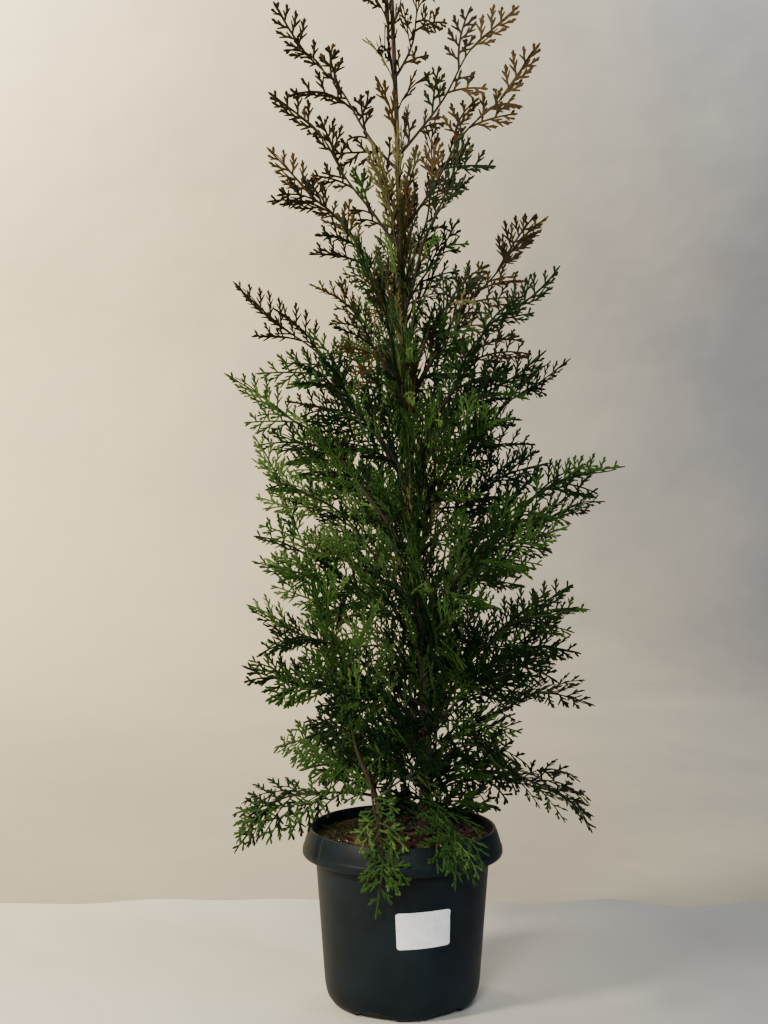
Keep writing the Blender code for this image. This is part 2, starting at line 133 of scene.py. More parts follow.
def mottled_finish(name, colour, roughness, specular, grain, tones, span=(0.35, 0.65), rise=None):
    """A material that goes from one tone to the other as a noise of a grain (millimetres, detail)
    crosses the span, and may rise with it by (millimetres, strength)."""
    finish, tree, shader, place = start_finish(name, colour, roughness, specular)
    figure = noise(tree, place, *grain)
    two_tone(tree, shader, figure, *tones, span)
    if rise:
        relief(tree, shader, figure, *rise)
    return finish


def add_piece(name, points, faces, finish, slot, crease=None):
    """One piece from an array of points and arrays of faces, with three or four corners each.

    It rides on the plant's one body. With a crease angle it is smooth where it turns less.
    """
    mesh = bpy.data.meshes.new(name)
    corners = np.concatenate([group.ravel() for group in faces]).astype(np.int32)
    sizes = np.concatenate([np.full(len(group), group.shape[1], np.int32) for group in faces])
    mesh.vertices.add(len(points))
    mesh.vertices.foreach_set("co", np.asarray(points, np.float32).ravel())
    mesh.loops.add(len(corners))
    mesh.loops.foreach_set("vertex_index", corners)
    mesh.polygons.add(len(sizes))
    mesh.polygons.foreach_set("loop_start", (np.cumsum(sizes) - sizes).astype(np.int32))
    mesh.update(calc_edges=True)
    if crease is not None:
        mesh.shade_smooth()
        mesh.set_sharp_from_angle(angle=math.radians(crease))
    else:
        mesh.shade_flat()
    piece = bpy.data.objects.new(name, mesh)
    piece.data.materials.append(finish)
    bpy.context.scene.collection.objects.link(piece)
    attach(piece, "root")
    return piece


def closed_skin(rings):
    """Points and faces over rings (ring, place, xyz) that turn left about their own run.

    Quads join each ring to the next, and a fan of triangles to its middle closes either end.
    """
    count, places = rings.shape[:2]
    index = np.arange(count * places).reshape(count, places)
    after = np.roll(index, -1, axis=1)
    quads = np.stack([index[:-1], after[:-1], after[1:], index[1:]], -1).reshape(-1, 4)
    low, high = count * places, count * places + 1
    first = np.stack([np.full(places, low), after[0], index[0]], -1)
    last = np.stack([np.full(places, high), index[-1], after[-1]], -1)
    ends = rings[[0, -1]].mean(axis=1)
    return np.vstack([rings.reshape(-1, 3), ends]), [quads, np.vstack([first, last])]


def rounded_profile(corners, spacing, steps=6):
    """A profile through (radius, height, setback) corners, with points no further than a spacing.

    Each corner P becomes the curve (1-t)^2 A + 2t(1-t) P + t^2 B, where A and B lie on its two
    sides at the setback from it.
    """
    places = np.array([corner[:2] for corner in corners])
    run = [places[0]]
    for k in range(1, len(corners) - 1):
        before, here, after = places[k - 1:k + 2]
        a = here + (before - here) / np.linalg.norm(before - here) * corners[k][2]
        b = here + (after - here) / np.linalg.norm(after - here) * corners[k][2]
        t = np.linspace(0, 1, steps)[:, None]
        run += list((1 - t) ** 2 * a + 2 * t * (1 - t) * here + t**2 * b)
    run = np.array(run + [places[-1]])
    dense = [run[:1]]
    for start, end in zip(run[:-1], run[1:]):
        parts = max(1, math.ceil(np.linalg.norm(end - start) / spacing))
        share = np.arange(1, parts + 1)[:, None] / parts
        dense.append(start + (end - start) * share)
    return np.concatenate(dense)


def around(radius, turn, height):
    """Points at a radius from the pot's axis, an angle from +X, and a height."""
    return np.stack(np.broadcast_arrays(radius * np.cos(turn), radius * np.sin(turn), height), -1)


def wrapped(angle):
    """The angle brought between -pi and pi."""
    return (angle + math.pi) % (2 * math.pi) - math.pi


def smooth_step(value):
    """0 below 0, 1 above 1, and 3v^2 - 2v^3 between."""
    held = np.clip(value, 0, 1)
    return held * held * (3 - 2 * held)


def pot_rings():
    """The turned profile, from under the foot up the wall, over the rim and down inside.

    The radius r(angle, z) is the profile's, less a recess under each arch of the foot, where z
    is below h * sqrt(1 - (angle / half)^2), less a dent of depth * exp(-(arc / width)^2) in the
    collar, and with a wave of a few tenths of a millimetre round the collar.
    """
    lip = POT_SHOULDER[1]
    corners = (
        (0.010, 0.0020, 0), (0.056, 0.0020, 0.0010), (0.060, 0, 0.0010),
        (POT_FOOT_RADIUS, 0, 0.0015), (0.0835, 0.0060, 0.0040), (*POT_HEEL, 0.0080),
        (*POT_SHOULDER, 0.0008), (POT_LIP_RADIUS, lip, 0.0036),
        (POT_LIP_RADIUS - 0.0006, lip + 0.0085, 0.0008), (0.1109, lip + 0.0094, 0.0006),
        (0.1080, POT_HEIGHT - 0.0095, 0.0060), (POT_RIM_RADIUS, POT_HEIGHT, 0.0009),
        (POT_RIM_RADIUS - POT_WALL, POT_HEIGHT, 0.0009), (POT_SHOULDER[0] - POT_WALL, lip, 0.004),
        (POT_HEEL[0] - POT_WALL, POT_HEEL[1], 0.0060), (0.0756, 0.0034, 0.0020), (0.010, 0.0034, 0),
    )
    profile = rounded_profile(corners, POT_ROW_STEP)
    radius = np.repeat(profile[:, :1], POT_COLUMNS, axis=1)
    height = np.repeat(profile[:, 1:], POT_COLUMNS, axis=1)
    turn = np.linspace(-math.pi, math.pi, POT_COLUMNS, endpoint=False)[None]
    outer = np.arange(len(profile))[:, None] <= np.argmax(profile[:, 1])
    off = wrapped((turn - math.radians(POT_FIRST_ARCH)) * POT_ARCHES) / POT_ARCHES
    crown = np.sqrt(np.clip(1 - (off / math.radians(POT_ARCH_HALF)) ** 2, 0, 1))
    under = smooth_step((POT_ARCH_HEIGHT * crown - height) / 0.0016 + 0.5) * (crown > 0)
    outward = smooth_step((radius - POT_FOOT_RADIUS + 0.013) / 0.012)
    radius = radius - outer * under * outward * POT_ARCH_DEPTH
    on_collar = outer * smooth_step((height - lip - 0.002) / 0.010)
    arc = wrapped(turn - math.radians(POT_CREASE_AZIMUTH)) * POT_LIP_RADIUS / POT_CREASE_WIDTH
    dent = np.exp(-((arc + 0.5 * (height - lip) / 0.01) ** 2)) - 0.35 * np.exp(-((arc - 2.6) ** 2))
    radius = radius - on_collar * POT_CREASE_DEPTH * dent
    above = smooth_step((height - lip + 0.004) / 0.008)
    radius = radius + above * 0.0003 * (np.cos(3 * turn + 0.6) + 0.6 * np.cos(5 * turn + 2.0) - 1)
    return around(radius, turn, height)


# Moulded polypropylene with recycled stock in it: a soft satin sheen over a fine mould grain,
# a little drier and greyer in cloudy patches where dust has settled.
pot_finish, tree, shader, place = start_finish("moulded_polypropylene", "0c151a", 0.40, 0.12)
clouds = noise(tree, place, 55, 5.0)
two_tone(tree, shader, clouds, "091014", "111b21")
relief(tree, shader, noise(tree, place, 1.6, 2.0), 0.12, 0.5)
gloss = add_node(tree, "ShaderNodeMapRange", {"To Min": 0.40, "To Max": 0.56}, {"Value": clouds})
tree.links.new(gloss.outputs["Result"], shader.inputs["Roughness"])

pot = add_piece("nursery_pot", *closed_skin(pot_rings()), pot_finish, "pot_plastic", crease=38)
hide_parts("pot")


# Potting soil. Dark milled peat filled to a finger's width below the rim, with crumbs, a mulch
# of red-brown bark chips, a few pale bits of grit, and moss where it stays damp at the back.

SOIL_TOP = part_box("soil")[1].z
SOIL_RIM_RADIUS = 0.0992
SOIL_STREWN_RADIUS = SOIL_RIM_RADIUS - 0.004
SOIL_RINGS = 46
SOIL_COLUMNS = 150
SOIL_RELIEF = 0.0017
CRUMBS = 950
CHIPS = 190
GRIT = 60
MOSS_AZIMUTH = 152.0
MOSS_TUFTS = 800


def waves(x, y, wavelengths, seed):
    """Rolling relief from -1 to 1: the mean of cos(2 pi d / w + p) over three waves of each
    length w, where d is the distance along a seeded direction and p a seeded phase."""
    rng = np.random.default_rng(seed)
    total = 0
    for length in wavelengths:
        for heading, phase in rng.uniform(0, 2 * math.pi, (3, 2)):
            along = x * math.cos(heading) + y * math.sin(heading)
            total = total + np.cos(2 * math.pi * along / length + phase)
    return total / (3 * len(wavelengths))


def soil_height(x, y):
    """Height of the soil: level, with rolling relief and a slight rise to the trunk."""
    rolling = SOIL_RELIEF * waves(x, y, (0.006, 0.011, 0.021, 0.040), 7)
    return SOIL_TOP - 0.0014 - SOIL_RELIEF + rolling + 0.0010 * np.exp(-(x * x + y * y) / 0.0016)


def soil_rings():
    """Rings from the floor of the pot up its wall, then in over the soil to its middle."""
    turn = np.linspace(0, 2 * math.pi, SOIL_COLUMNS, endpoint=False)[None]
    wall = np.array([(0.0200, 0.0037), (0.0750, 0.0037), (0.0842, 0.0180), (0.0950, 0.1640)])
    radius = np.concatenate([wall[:, 0], np.linspace(SOIL_RIM_RADIUS, 0.002, SOIL_RINGS)])[:, None]
    x, y = radius * np.cos(turn), radius * np.sin(turn)
    low = np.repeat(wall[:, 1:], SOIL_COLUMNS, axis=1)
    z = np.concatenate([low, soil_height(x[len(wall):], y[len(wall):])])
    return np.stack([x, y, z], -1)


def turned_frames(count, rng, tumble):
    """Frames (count, 3, 3) turned any way round +Z and tipped by up to the tumble in radians."""
    heading = rng.uniform(0, 2 * math.pi, count)
    tip = rng.uniform(-tumble, tumble, (count, 2))
    up = np.stack([np.sin(tip[:, 0]), np.sin(tip[:, 1]), np.cos(tip[:, 0]) * np.cos(tip[:, 1])], -1)
    up /= np.linalg.norm(up, axis=1, keepdims=True)
    side = np.stack([np.cos(heading), np.sin(heading), np.zeros(count)], -1)
    side -= up * (side * up).sum(1, keepdims=True)
    side /= np.linalg.norm(side, axis=1, keepdims=True)
    return np.stack([side, np.cross(up, side), up], 1)


def copies(shape, faces, centres, frames, sizes):
    """Every copy of a small shape at once: centre + shape * size in the copy's own frame."""
    scaled = shape[None] * sizes[:, None]
    points = centres[:, None] + np.einsum("npk,nkx->npx", scaled, frames)
    offsets = np.arange(len(centres))[:, None, None] * len(shape)
    return points.reshape(-1, 3), [(faces[None] + offsets).reshape(-1, faces.shape[1])]


def pebble(rings=4, places=7, rough=0.22, seed=0):
    """A lump of unit radius: rings of a ball, each point pulled in or out by the roughness."""
    rng = np.random.default_rng(seed)
    rise = np.linspace(-0.5, 0.5, rings + 2)[1:-1, None] * math.pi
    turn = np.linspace(0, 2 * math.pi, places, endpoint=False)[None]
    ball = np.stack(np.broadcast_arrays(
        np.cos(rise) * np.cos(turn), np.cos(rise) * np.sin(turn), np.sin(rise)), -1)
    points, (quads, fans) = closed_skin(ball * (1 + rough * rng.uniform(-1, 1, (rings, places, 1))))
    points[-2:, 2] = (-1, 1)
    halves = np.vstack([quads[:, [0, 1, 2]], quads[:, [0, 2, 3]]])
    return points, np.vstack([halves, fans])


def on_soil(radius, turn):
    """Points of the soil's surface."""
    x, y = radius * np.cos(turn), radius * np.sin(turn)
    return np.stack([x, y, soil_height(x, y)], -1)


def scattered(count, rng, inner=0.0):
    """Places spread evenly over the soil outside a radius."""
    radius = np.sqrt(rng.uniform(inner**2, SOIL_STREWN_RADIUS**2, count))
    return on_soil(radius, rng.uniform(0, 2 * math.pi, count))


# Milled peat: fibrous, damp and nearly black, with paler dry crumbs.
peat = mottled_finish(
    "milled_peat", "1b130c", 0.95, 0.2, (4, 8.0), ("090704", "261a11"), (0.38, 0.72), (1.6, 0.9))

# Pine bark chips: red-brown where they broke, grey-brown where they have weathered.
chip_finish = mottled_finish(
    "pine_bark_chip", "56301f", 0.88, 0.25, (6, 6.0), ("190f0a", "52291a"), (0.34, 0.74), (0.6, 0.8))

# Quartz grit, pale and dull, and moss, a soft dark olive.
grit_finish = mottled_finish("quartz_grit", "948a78", 0.70, 0.4, (1.5, 3.0), ("6c6355", "aea491"))
moss_finish = mottled_finish(
    "cushion_moss", "333c18", 0.90, 0.2, (9, 4.0), ("222b11", "434c20"), (0.30, 0.72))

soil = add_piece("potting_soil", *closed_skin(soil_rings()), peat, "peat_soil", crease=80)
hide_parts("soil")

rng = np.random.default_rng(21)
sizes = rng.uniform(0.0008, 0.0023, (CRUMBS, 1)) * rng.uniform(0.6, 1.2, (CRUMBS, 3))
crumbs = copies(*pebble(), scattered(CRUMBS, rng), turned_frames(CRUMBS, rng, 1.2), sizes)
add_piece("peat_crumbs", *crumbs, peat, "peat_soil", crease=80)

flake = pebble(rings=2, places=6, rough=0.30, seed=5)
spans = ((0.0030, 0.0085), (0.0018, 0.0042), (0.0005, 0.0012))
sizes = np.stack([rng.uniform(least, most, CHIPS) for least, most in spans], -1)
resting = scattered(CHIPS, rng) + (0, 0, 0.0010)
chips = copies(*flake, resting, turned_frames(CHIPS, rng, 0.45), sizes)
add_piece("bark_chips", *chips, chip_finish, "peat_soil")

front = scattered(GRIT * 3, rng, 0.055)
front = front[np.argsort(front[:, 1] + 0.4 * rng.uniform(-0.1, 0.1, len(front)))][:GRIT]
sizes = rng.uniform(0.0006, 0.0015, (GRIT, 1)) * rng.uniform(0.7, 1.1, (GRIT, 3))
resting = front + (0, 0, 0.0008)
grit = copies(*pebble(rings=3, places=6, seed=9), resting, turned_frames(GRIT, rng, 1.0), sizes)
add_piece("grit", *grit, grit_finish, "peat_soil")

# A tuft of moss is a three-sided spike on the cushion's rolling surface.
turn = math.radians(MOSS_AZIMUTH) + rng.normal(0, 0.42, MOSS_TUFTS)
radius = SOIL_STREWN_RADIUS - np.abs(rng.normal(0, 0.016, MOSS_TUFTS))
seat = on_soil(np.maximum(radius, 0.02), turn) - (0, 0, 0.0005)
spike = np.array([(1, 0, 0), (-0.5, 0.87, 0), (-0.5, -0.87, 0), (0, 0, 1)])
sides = np.array([(0, 1, 3), (1, 2, 3), (2, 0, 3), (0, 2, 1)])
sizes = np.stack([np.full(MOSS_TUFTS, 0.0006)] * 2 + [rng.uniform(0.0022, 0.0050, MOSS_TUFTS)], -1)
moss = copies(spike, sides, seat, turned_frames(MOSS_TUFTS, rng, 0.6), sizes)
add_piece("moss", *moss, moss_finish, "peat_soil")


# Label. A blank white sticker of coated paper, pressed on the cone of the wall by hand, so that
# it stands a little askew, with one corner that has not quite taken.

LABEL_WIDTH = 0.060
LABEL_HEIGHT = 0.040
LABEL_THICKNESS = 0.0004
LABEL_CENTRE = 0.104
LABEL_AZIMUTH = -76.3
LABEL_TILT = 2.0
LABEL_CORNER = 0.003
LABEL_GAP = 0.0003
LABEL_GRID = (41, 61)


def pot_wall_radius(height):
    """Outer radius of the wall, straight from the heel to the shoulder."""
    share = (height - POT_HEEL[1]) / (POT_SHOULDER[1] - POT_HEEL[1])
    return POT_HEEL[0] + share * (POT_SHOULDER[0] - POT_HEEL[0])


def grid(rows, columns):
    """The numbers of points laid out in rows, and the quads between them."""
    index = np.arange(rows * columns).reshape(rows, columns)
    corners = (index[:-1, :-1], index[:-1, 1:], index[1:, 1:], index[1:, :-1])
    return index, np.stack(corners, -1).reshape(-1, 4)


def label_skin():
    """The sheet (v, u) wrapped on the wall, its back a gap off it and its front a thickness more.

    A row at height v is as wide as the rounded rectangle there: near the top and bottom it is
    shorter by c - sqrt(c^2 - d^2), where c is the corner's radius and d the depth into it.
    """
    v, u = np.meshgrid(*(np.linspace(-1, 1, count) for count in LABEL_GRID), indexing="ij")
    z = v * LABEL_HEIGHT / 2
    depth = np.clip(np.abs(z) - (LABEL_HEIGHT / 2 - LABEL_CORNER), 0, LABEL_CORNER)
    x = u * (LABEL_WIDTH / 2 - LABEL_CORNER + np.sqrt(LABEL_CORNER**2 - depth**2))
    tilt = math.radians(LABEL_TILT)
    height = LABEL_CENTRE + x * math.sin(tilt) + z * math.cos(tilt)
    turn = math.radians(LABEL_AZIMUTH)
    turn = turn + (x * math.cos(tilt) - z * math.sin(tilt)) / pot_wall_radius(LABEL_CENTRE)
    lifted = 0.0009 * smooth_step((u + v - 1.55) / 0.45)
    puckered = 0.00012 * (1 + waves(x, z, (0.010, 0.017), 3))
    sheets = []
    for lift in (LABEL_GAP, LABEL_GAP + LABEL_THICKNESS):
        radius = pot_wall_radius(height) + lift + lifted + puckered
        sheets.append(around(radius, turn, height).reshape(-1, 3))
    index, quads = grid(*LABEL_GRID)
    edge = np.concatenate([index[0, :-1], index[:-1, -1], index[-1, :0:-1], index[:0:-1, 0]])
    after = np.roll(edge, -1)
    rim = np.stack([edge, after, after + index.size, edge + index.size], -1)
    return np.concatenate(sheets), [quads[:, ::-1], quads + index.size, rim]


# Coated label paper: bright and smooth, with the faint mottle of thermal stock.
paper = mottled_finish(
    "coated_label_paper", "dfe2e6", 0.42, 0.4, (7, 4.0), ("d6dade", "e6e8ea"), rise=(0.08, 0.4))

label = add_piece("blank_label", *label_skin(), paper, "label_film", crease=50)
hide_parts("label")


# Trunk and second stem. Two shoots from the one root ball: the trunk, wand-thin and straight to
# the tip, and a thinner stem that leans out to the left. The bark is thin and purple-brown, and
# lies in long fibrous strips that part as the stem thickens. Young wood above is still smooth.

TRUNK = (
    (0.1858, 0.026, 0.004, 0.0102),
    (0.198, 0.026, 0.004, 0.0079),
    (0.225, 0.026, 0.003, 0.0072),
    (0.345, 0.025, 0.000, 0.0062),
    (0.480, 0.015, -0.002, 0.0050),
    (0.640, 0.005, -0.001, 0.0037),
    (0.800, -0.002, 0.001, 0.0031),
    (0.960, -0.006, 0.001, 0.0027),
    (1.110, -0.012, -0.001, 0.0023),
    (1.205, -0.014, -0.002, 0.0017),
)
SECOND_STEM = (
    (0.1858, -0.024, -0.036, 0.0040),
    (0.235, -0.029, -0.042, 0.0027),
    (0.286, -0.049, -0.046, 0.0024),
    (0.353, -0.063, -0.048, 0.0021),
    (0.396, -0.082, -0.048, 0.0018),
    (0.430, -0.087, -0.047, 0.0016),
)
CARRIERS = {"trunk": TRUNK, "second_stem": SECOND_STEM}
BARK_RELIEF = 0.085


def smooth_stations(stations, count):
    """Catmull-Rom curve through the stations, evenly stepped from the first to the last."""
    rows = np.array(stations, float)
    last = len(rows) - 1
    t = np.linspace(0, last, count)
    i = np.minimum(t.astype(int), last - 1)
    f = (t - i)[:, None]
    before = rows[np.maximum(i - 1, 0)]
    after = rows[np.minimum(i + 2, last)]
    here, there = rows[i], rows[i + 1]
    curve = 2 * here + (there - before) * f
    curve += (2 * before - 5 * here + 4 * there - after) * f**2
    curve += (3 * here - before - 3 * there + after) * f**3
    return curve / 2


def unit(vectors):
    """Each vector divided by its length."""
    return vectors / np.linalg.norm(vectors, axis=-1, keepdims=True)


def fibres(turn, along, strips, seed):
    """Long strips of bark, from -1 to 1: the mean of six waves cos(n turn + w along + p) round
    the limb, where n is a whole number near the strips, w a seeded drift and p a phase."""
    rng = np.random.default_rng(seed)
    total = 0
    for _ in range(6):
        number = rng.integers(max(2, strips // 2), strips + 1)
        drift, phase = rng.uniform(-90, 90), rng.uniform(0, 2 * math.pi)
        total = total + np.cos(number * turn + drift * along + phase)
    return total / 6


def barked_rings(path, radii, sides, strips, across, seed):
    """Rings square to a path, whose radius r is r (1 + relief * fibres(angle, distance))."""
    ahead = unit(np.gradient(path, axis=0))
    first = unit(np.cross(ahead, across))
    second = np.cross(ahead, first)
    turn = np.linspace(0, 2 * math.pi, sides, endpoint=False)[None]
    along = np.concatenate([[0], np.cumsum(np.linalg.norm(np.diff(path, axis=0), axis=1))])[:, None]
    wide = radii[:, None] * (1 + BARK_RELIEF * fibres(turn, along, strips, seed))
    ring = np.cos(turn)[..., None] * first[:, None] + np.sin(turn)[..., None] * second[:, None]
    return path[:, None] + wide[..., None] * ring


def barked_stem(stations, rings, sides, strips, seed):
    """A stem up through its stations (height, x, y, radius), cut level at the soil."""
    curve = smooth_stations(stations, rings)
    path = curve[:, [1, 2, 0]]
    path[1, :2] = path[0, :2]
    return closed_skin(barked_rings(path, curve[:, 3], sides, strips, (0.0, 1.0, 0.0), seed))


def bark_finish(name, low, high, young, start, end):
    """Fibrous bark whose two tones streak along the stem, fading to young wood with height."""
    finish, tree, shader, place = start_finish(name, low, 0.80, 0.3)
    drawn_out = add_node(tree, "ShaderNodeMapping", {"Scale": (1.0, 1.0, 0.10)}, {"Vector": place})
    streaks = noise(tree, drawn_out.outputs["Vector"], 1.8, 5.0)
    ramp = two_tone(tree, shader, streaks, low, high, (0.36, 0.66))
    height = add_node(tree, "ShaderNodeSeparateXYZ", links={"Vector": place}).outputs["Z"]
    values = {"From Min": start, "From Max": end}
    aged = add_node(tree, "ShaderNodeMapRange", values, {"Value": height}, interpolation_type="SMOOTHSTEP")
    blend = add_node(tree, "ShaderNodeMix", data_type="RGBA")
    tree.links.new(aged.outputs["Result"], blend.inputs["Factor"])
    tree.links.new(ramp.outputs["Color"], blend.inputs["A"])
    blend.inputs["B"].default_value = linear(young)
    tree.links.new(blend.outputs["Result"], shader.inputs["Base Color"])
    relief(tree, shader, streaks, 0.5, 0.8)
    return finish


trunk_bark = bark_finish("thin_fibrous_bark", "1b120e", "3c2d26", "3a2c1b", 0.85, 1.20)
stem_bark = bark_finish("young_stem_bark", "21160f", "3a291e", "241c14", 0.24, 0.34)
trunk = add_piece("barked_trunk", *barked_stem(TRUNK, 520, 28, 11, 31), trunk_bark, "bark", crease=70)
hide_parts("trunk")
second_skin = barked_stem(SECOND_STEM, 170, 18, 8, 32)
second_stem = add_piece("barked_second_stem", *second_skin, stem_bark, "bark", crease=70)
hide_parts("second_stem")


# Boughs. Whip-like leaders in tiers all the way up the trunk, each one tapering limb that leaves
# it at a collar and turns up. Near the trunk they are woody, and towards the tip brown-green.

# Each tier: height of the lowest foot, azimuth of the first leader and step to the next, their
# lengths in turn, rise at the foot and lift at the tip, bare share of the length, reach of the
# side sprays, and twist of the fans out of the upright.
TIERS = (
    (0.203, 174, 92, (0.245, 0.200, 0.205, 0.205), 34, -64, 0.34, 0.070, 60),
    (0.238, 140, 122, (0.220, 0.215, 0.235), 38, -18, 0.0, 0.082, 45),
    (0.285, 188, 121, (0.225, 0.215, 0.200), 44, 8, 0.0, 0.090, 30),
    (0.330, 204, 116, (0.240, 0.230, 0.240), 46, 12, 0.36, 0.092, 24),
    (0.392, 134, 118, (0.235, 0.235, 0.265), 52, 10, 0.0, 0.096, 24),
    (0.436, 194, 148, (0.255, 0.272, 0.245), 58, 16, 0.0, 0.096, 18),
    (0.495, 160, 112, (0.300, 0.250, 0.290), 62, 20, 0.0, 0.090, 12),
    (0.575, 186, 138, (0.295, 0.280, 0.255), 68, 28, 0.0, 0.082, 8),
    (0.655, 238, 114, (0.225, 0.250, 0.240), 68, 36, 0.30, 0.076, 4),
    (0.745, 174, 122, (0.250, 0.225, 0.250), 72, 38, 0.28, 0.072, 0),
    (0.840, 192, 160, (0.220, 0.250), 62, 42, 0.0, 0.068, 0),
    (0.925, 166, 186, (0.230, 0.200), 58, 46, 0.0, 0.064, 0),
    (1.010, 250, 172, (0.180, 0.185), 58, 52, 0.0, 0.056, 0),
    (1.100, 160, 190, (0.135,), 56, 60, 0.0, 0.044, 0),
)
CROWN_TIP = (TRUNK[-1][0], 100, 0.100, 86, 88, 0.0, 0.040, 0, 1.0)
STEM_TOP = (SECOND_STEM[-1][0], 158, 0.215, 74, 60, 0.0, 0.070, 0, 1.0)
HANGING_SPRIG = (0.250, -88, 0.148, 16, -104, 0.0, 0.044, 90, 0.70)

# Short inner boughs that fill the crown between the tiers, each a golden angle round from the
# last: the first and last foot and the step between, and at four heights the length, rise, lift
# and reach.
INNER_FEET = (0.222, 0.78, 0.021)
INNER_HEIGHTS = (0.22, 0.36, 0.56, 0.76)
INNER_HABITS = (
    (0.130, 36, -40, 0.060), (0.215, 46, 0, 0.080), (0.210, 56, 15, 0.080), (0.120, 66, 40, 0.050))
GOLDEN_ANGLE = 137.5

JITTER_AZIMUTH = 9.0
JITTER_PITCH = 5.0
COLLAR_DROOP = 26.0
COLLAR_SHARE = 0.07
FOOT_STEP = 0.016
SWAY = 13.0
BEND = 1.2
SEAT_GAP = 0.0003
BEND_SPACING = 0.13
BEND_SWING = 0.006
FURTHEST_SEAT = 0.25
BOUGH_RADIUS = 0.0027
STEM_END = 0.90
WOODY_SHARE = 0.36
FOOT_TAPER = (0.0004, 0.0052)
THICKEST_FOOT = 0.62
TWIG_RADIUS = 0.0006
SUNK = 0.0060


def skin_of(node):
    """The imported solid's skin, for distances to it."""
    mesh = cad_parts[node].data
    corners = [vertex.co for vertex in mesh.vertices]
    return BVHTree.FromPolygons(corners, [tuple(face.vertices) for face in mesh.polygons])


def point_on(stations, height):
    """Centre of an upright at a height."""
    rows = smooth_stations(stations, 80)
    return np.array([np.interp(height, rows[:, 0], rows[:, k]) for k in (1, 2)] + [height])


class Leader:
    """One leader: its curve from foot to tip, and the plane that its sprays spread in.

    Its pitch at a share s of the length is rise + (lift - rise) s^bend - droop exp(-s / collar),
    and its heading is azimuth + sway sin(pi s). The curve is the running sum of its directions,
    and swings a little to each side of that.
    """

    steps = 48

    def __init__(self, name, carrier, foot, azimuth, length, rise, lift, bare, reach, twist, bend=BEND):
        self.name, self.carrier, self.bare = name, carrier, bare
        self.reach, self.length = reach, length
        self.rng = random.Random(name)
        azimuth += self.rng.uniform(-JITTER_AZIMUTH, JITTER_AZIMUTH)
        rise += self.rng.uniform(-JITTER_PITCH, JITTER_PITCH)
        lift += self.rng.uniform(-JITTER_PITCH, JITTER_PITCH)
        sway = math.radians(self.rng.uniform(-SWAY, SWAY))
        turn = math.radians(twist + self.rng.uniform(-SWAY, SWAY))
        stations = CARRIERS[carrier]
        droop = 0.0 if foot >= stations[-1][0] else COLLAR_DROOP
        self.s = np.linspace(0, 1, self.steps)
        pitch = np.radians(rise + (lift - rise) * self.s**bend - droop * np.exp(-self.s / COLLAR_SHARE))
        heading = math.radians(azimuth) + sway * np.sin(math.pi * self.s)
        level = np.cos(pitch)
        self.ahead = np.stack([level * np.cos(heading), level * np.sin(heading), np.sin(pitch)], -1)
        middle = (self.ahead[1:] + self.ahead[:-1]) / 2
        run = np.cumsum(np.vstack([np.zeros(3), middle * length / (self.steps - 1)]), 0)
        tangent = np.stack([-np.sin(heading), np.cos(heading), np.zeros(self.steps)], -1)
        bends = random.Random("bends " + name)
        for direction in (tangent, np.cross(self.ahead, tangent)):
            wave = np.sin(2 * math.pi * (self.s * length / BEND_SPACING + bends.random()))
            run += (BEND_SWING * self.s * wave)[:, None] * direction
        self.path = point_on(stations, foot) + run
        self.normal = tangent * math.cos(turn) + np.cross(self.ahead, tangent) * math.sin(turn)
        self.first = self.seat(SKINS[carrier])

    def at(self, share):
        """Point, direction and fan normal at a share of the length, or at an array of shares."""
        values = (self.path, self.ahead, self.normal)
        return [np.stack([np.interp(share, self.s, v[:, k]) for k in range(3)], -1) for v in values]

    def seat(self, skin):
        """The share of the length at which the foot of its solid comes clear of its carrier."""
        end = self.bare or STEM_END
        for share in np.linspace(0, FURTHEST_SEAT, 400):
            point, ahead, normal = self.at(share)
            side = np.cross(ahead, (0.31, 0.95, 0.05))
            side = side / np.linalg.norm(side)
            sides = 5 if self.bare else 3
            turn = 2 * math.pi * np.arange(sides)[:, None] / sides
            over = np.cross(ahead, side)
            ring = point + BOUGH_RADIUS * (np.cos(turn) * side + np.sin(turn) * over)
            nearest = [skin.find_nearest(Vector(p)) for p in (*ring, point)]
            if min((Vector(p) - hit[0]).dot(hit[1]) for p, hit in zip((*ring, point), nearest)) > SEAT_GAP:
                return min(share, end)
        return FURTHEST_SEAT

    def limb(self, start, end, rings, sides, foot_radius, seed):
        """The limb's skin between two shares. Its radius is foot (1 - s)^1.2 + twig, and a collar
        swells it by up to two fifths where it leaves the trunk."""
        share = np.linspace(start, end, rings)
        point, _, normal = self.at(share)
        radii = foot_radius * (1 - share) ** 1.2 + TWIG_RADIUS
        from_foot = np.maximum(share - self.first, 0) * self.length
        radii = radii * (1 + 0.40 * np.exp(-from_foot / 0.006) * (start < self.first))
        return closed_skin(barked_rings(point, radii, sides, 5, normal, seed))


def joined(skins):
    """Several skins as one: their points in turn, and their faces moved on to match."""
    points, quads, triangles, offset = [], [], [], 0
    for own, (four, three) in skins:
        points.append(own)
        quads.append(four + offset)
        triangles.append(three + offset)
        offset += len(own)
    return np.concatenate(points), [np.concatenate(quads), np.concatenate(triangles)]


SKINS = {name: skin_of(name) for name in CARRIERS}
leaders = []
for tier, (foot, azimuth, step, lengths, *habit) in enumerate(TIERS, 1):
    for k, length in enumerate(lengths):
        name = f"{tier:02d}{'abcd'[k]}"
        leaders.append(Leader(name, "trunk", foot + FOOT_STEP * k, azimuth + step * k, length, *habit))
leaders.append(Leader("crown_tip", "trunk", *CROWN_TIP))
leaders.append(Leader("stem_top", "second_stem", *STEM_TOP))
leaders.append(Leader("hanging_sprig", "second_stem", *HANGING_SPRIG))

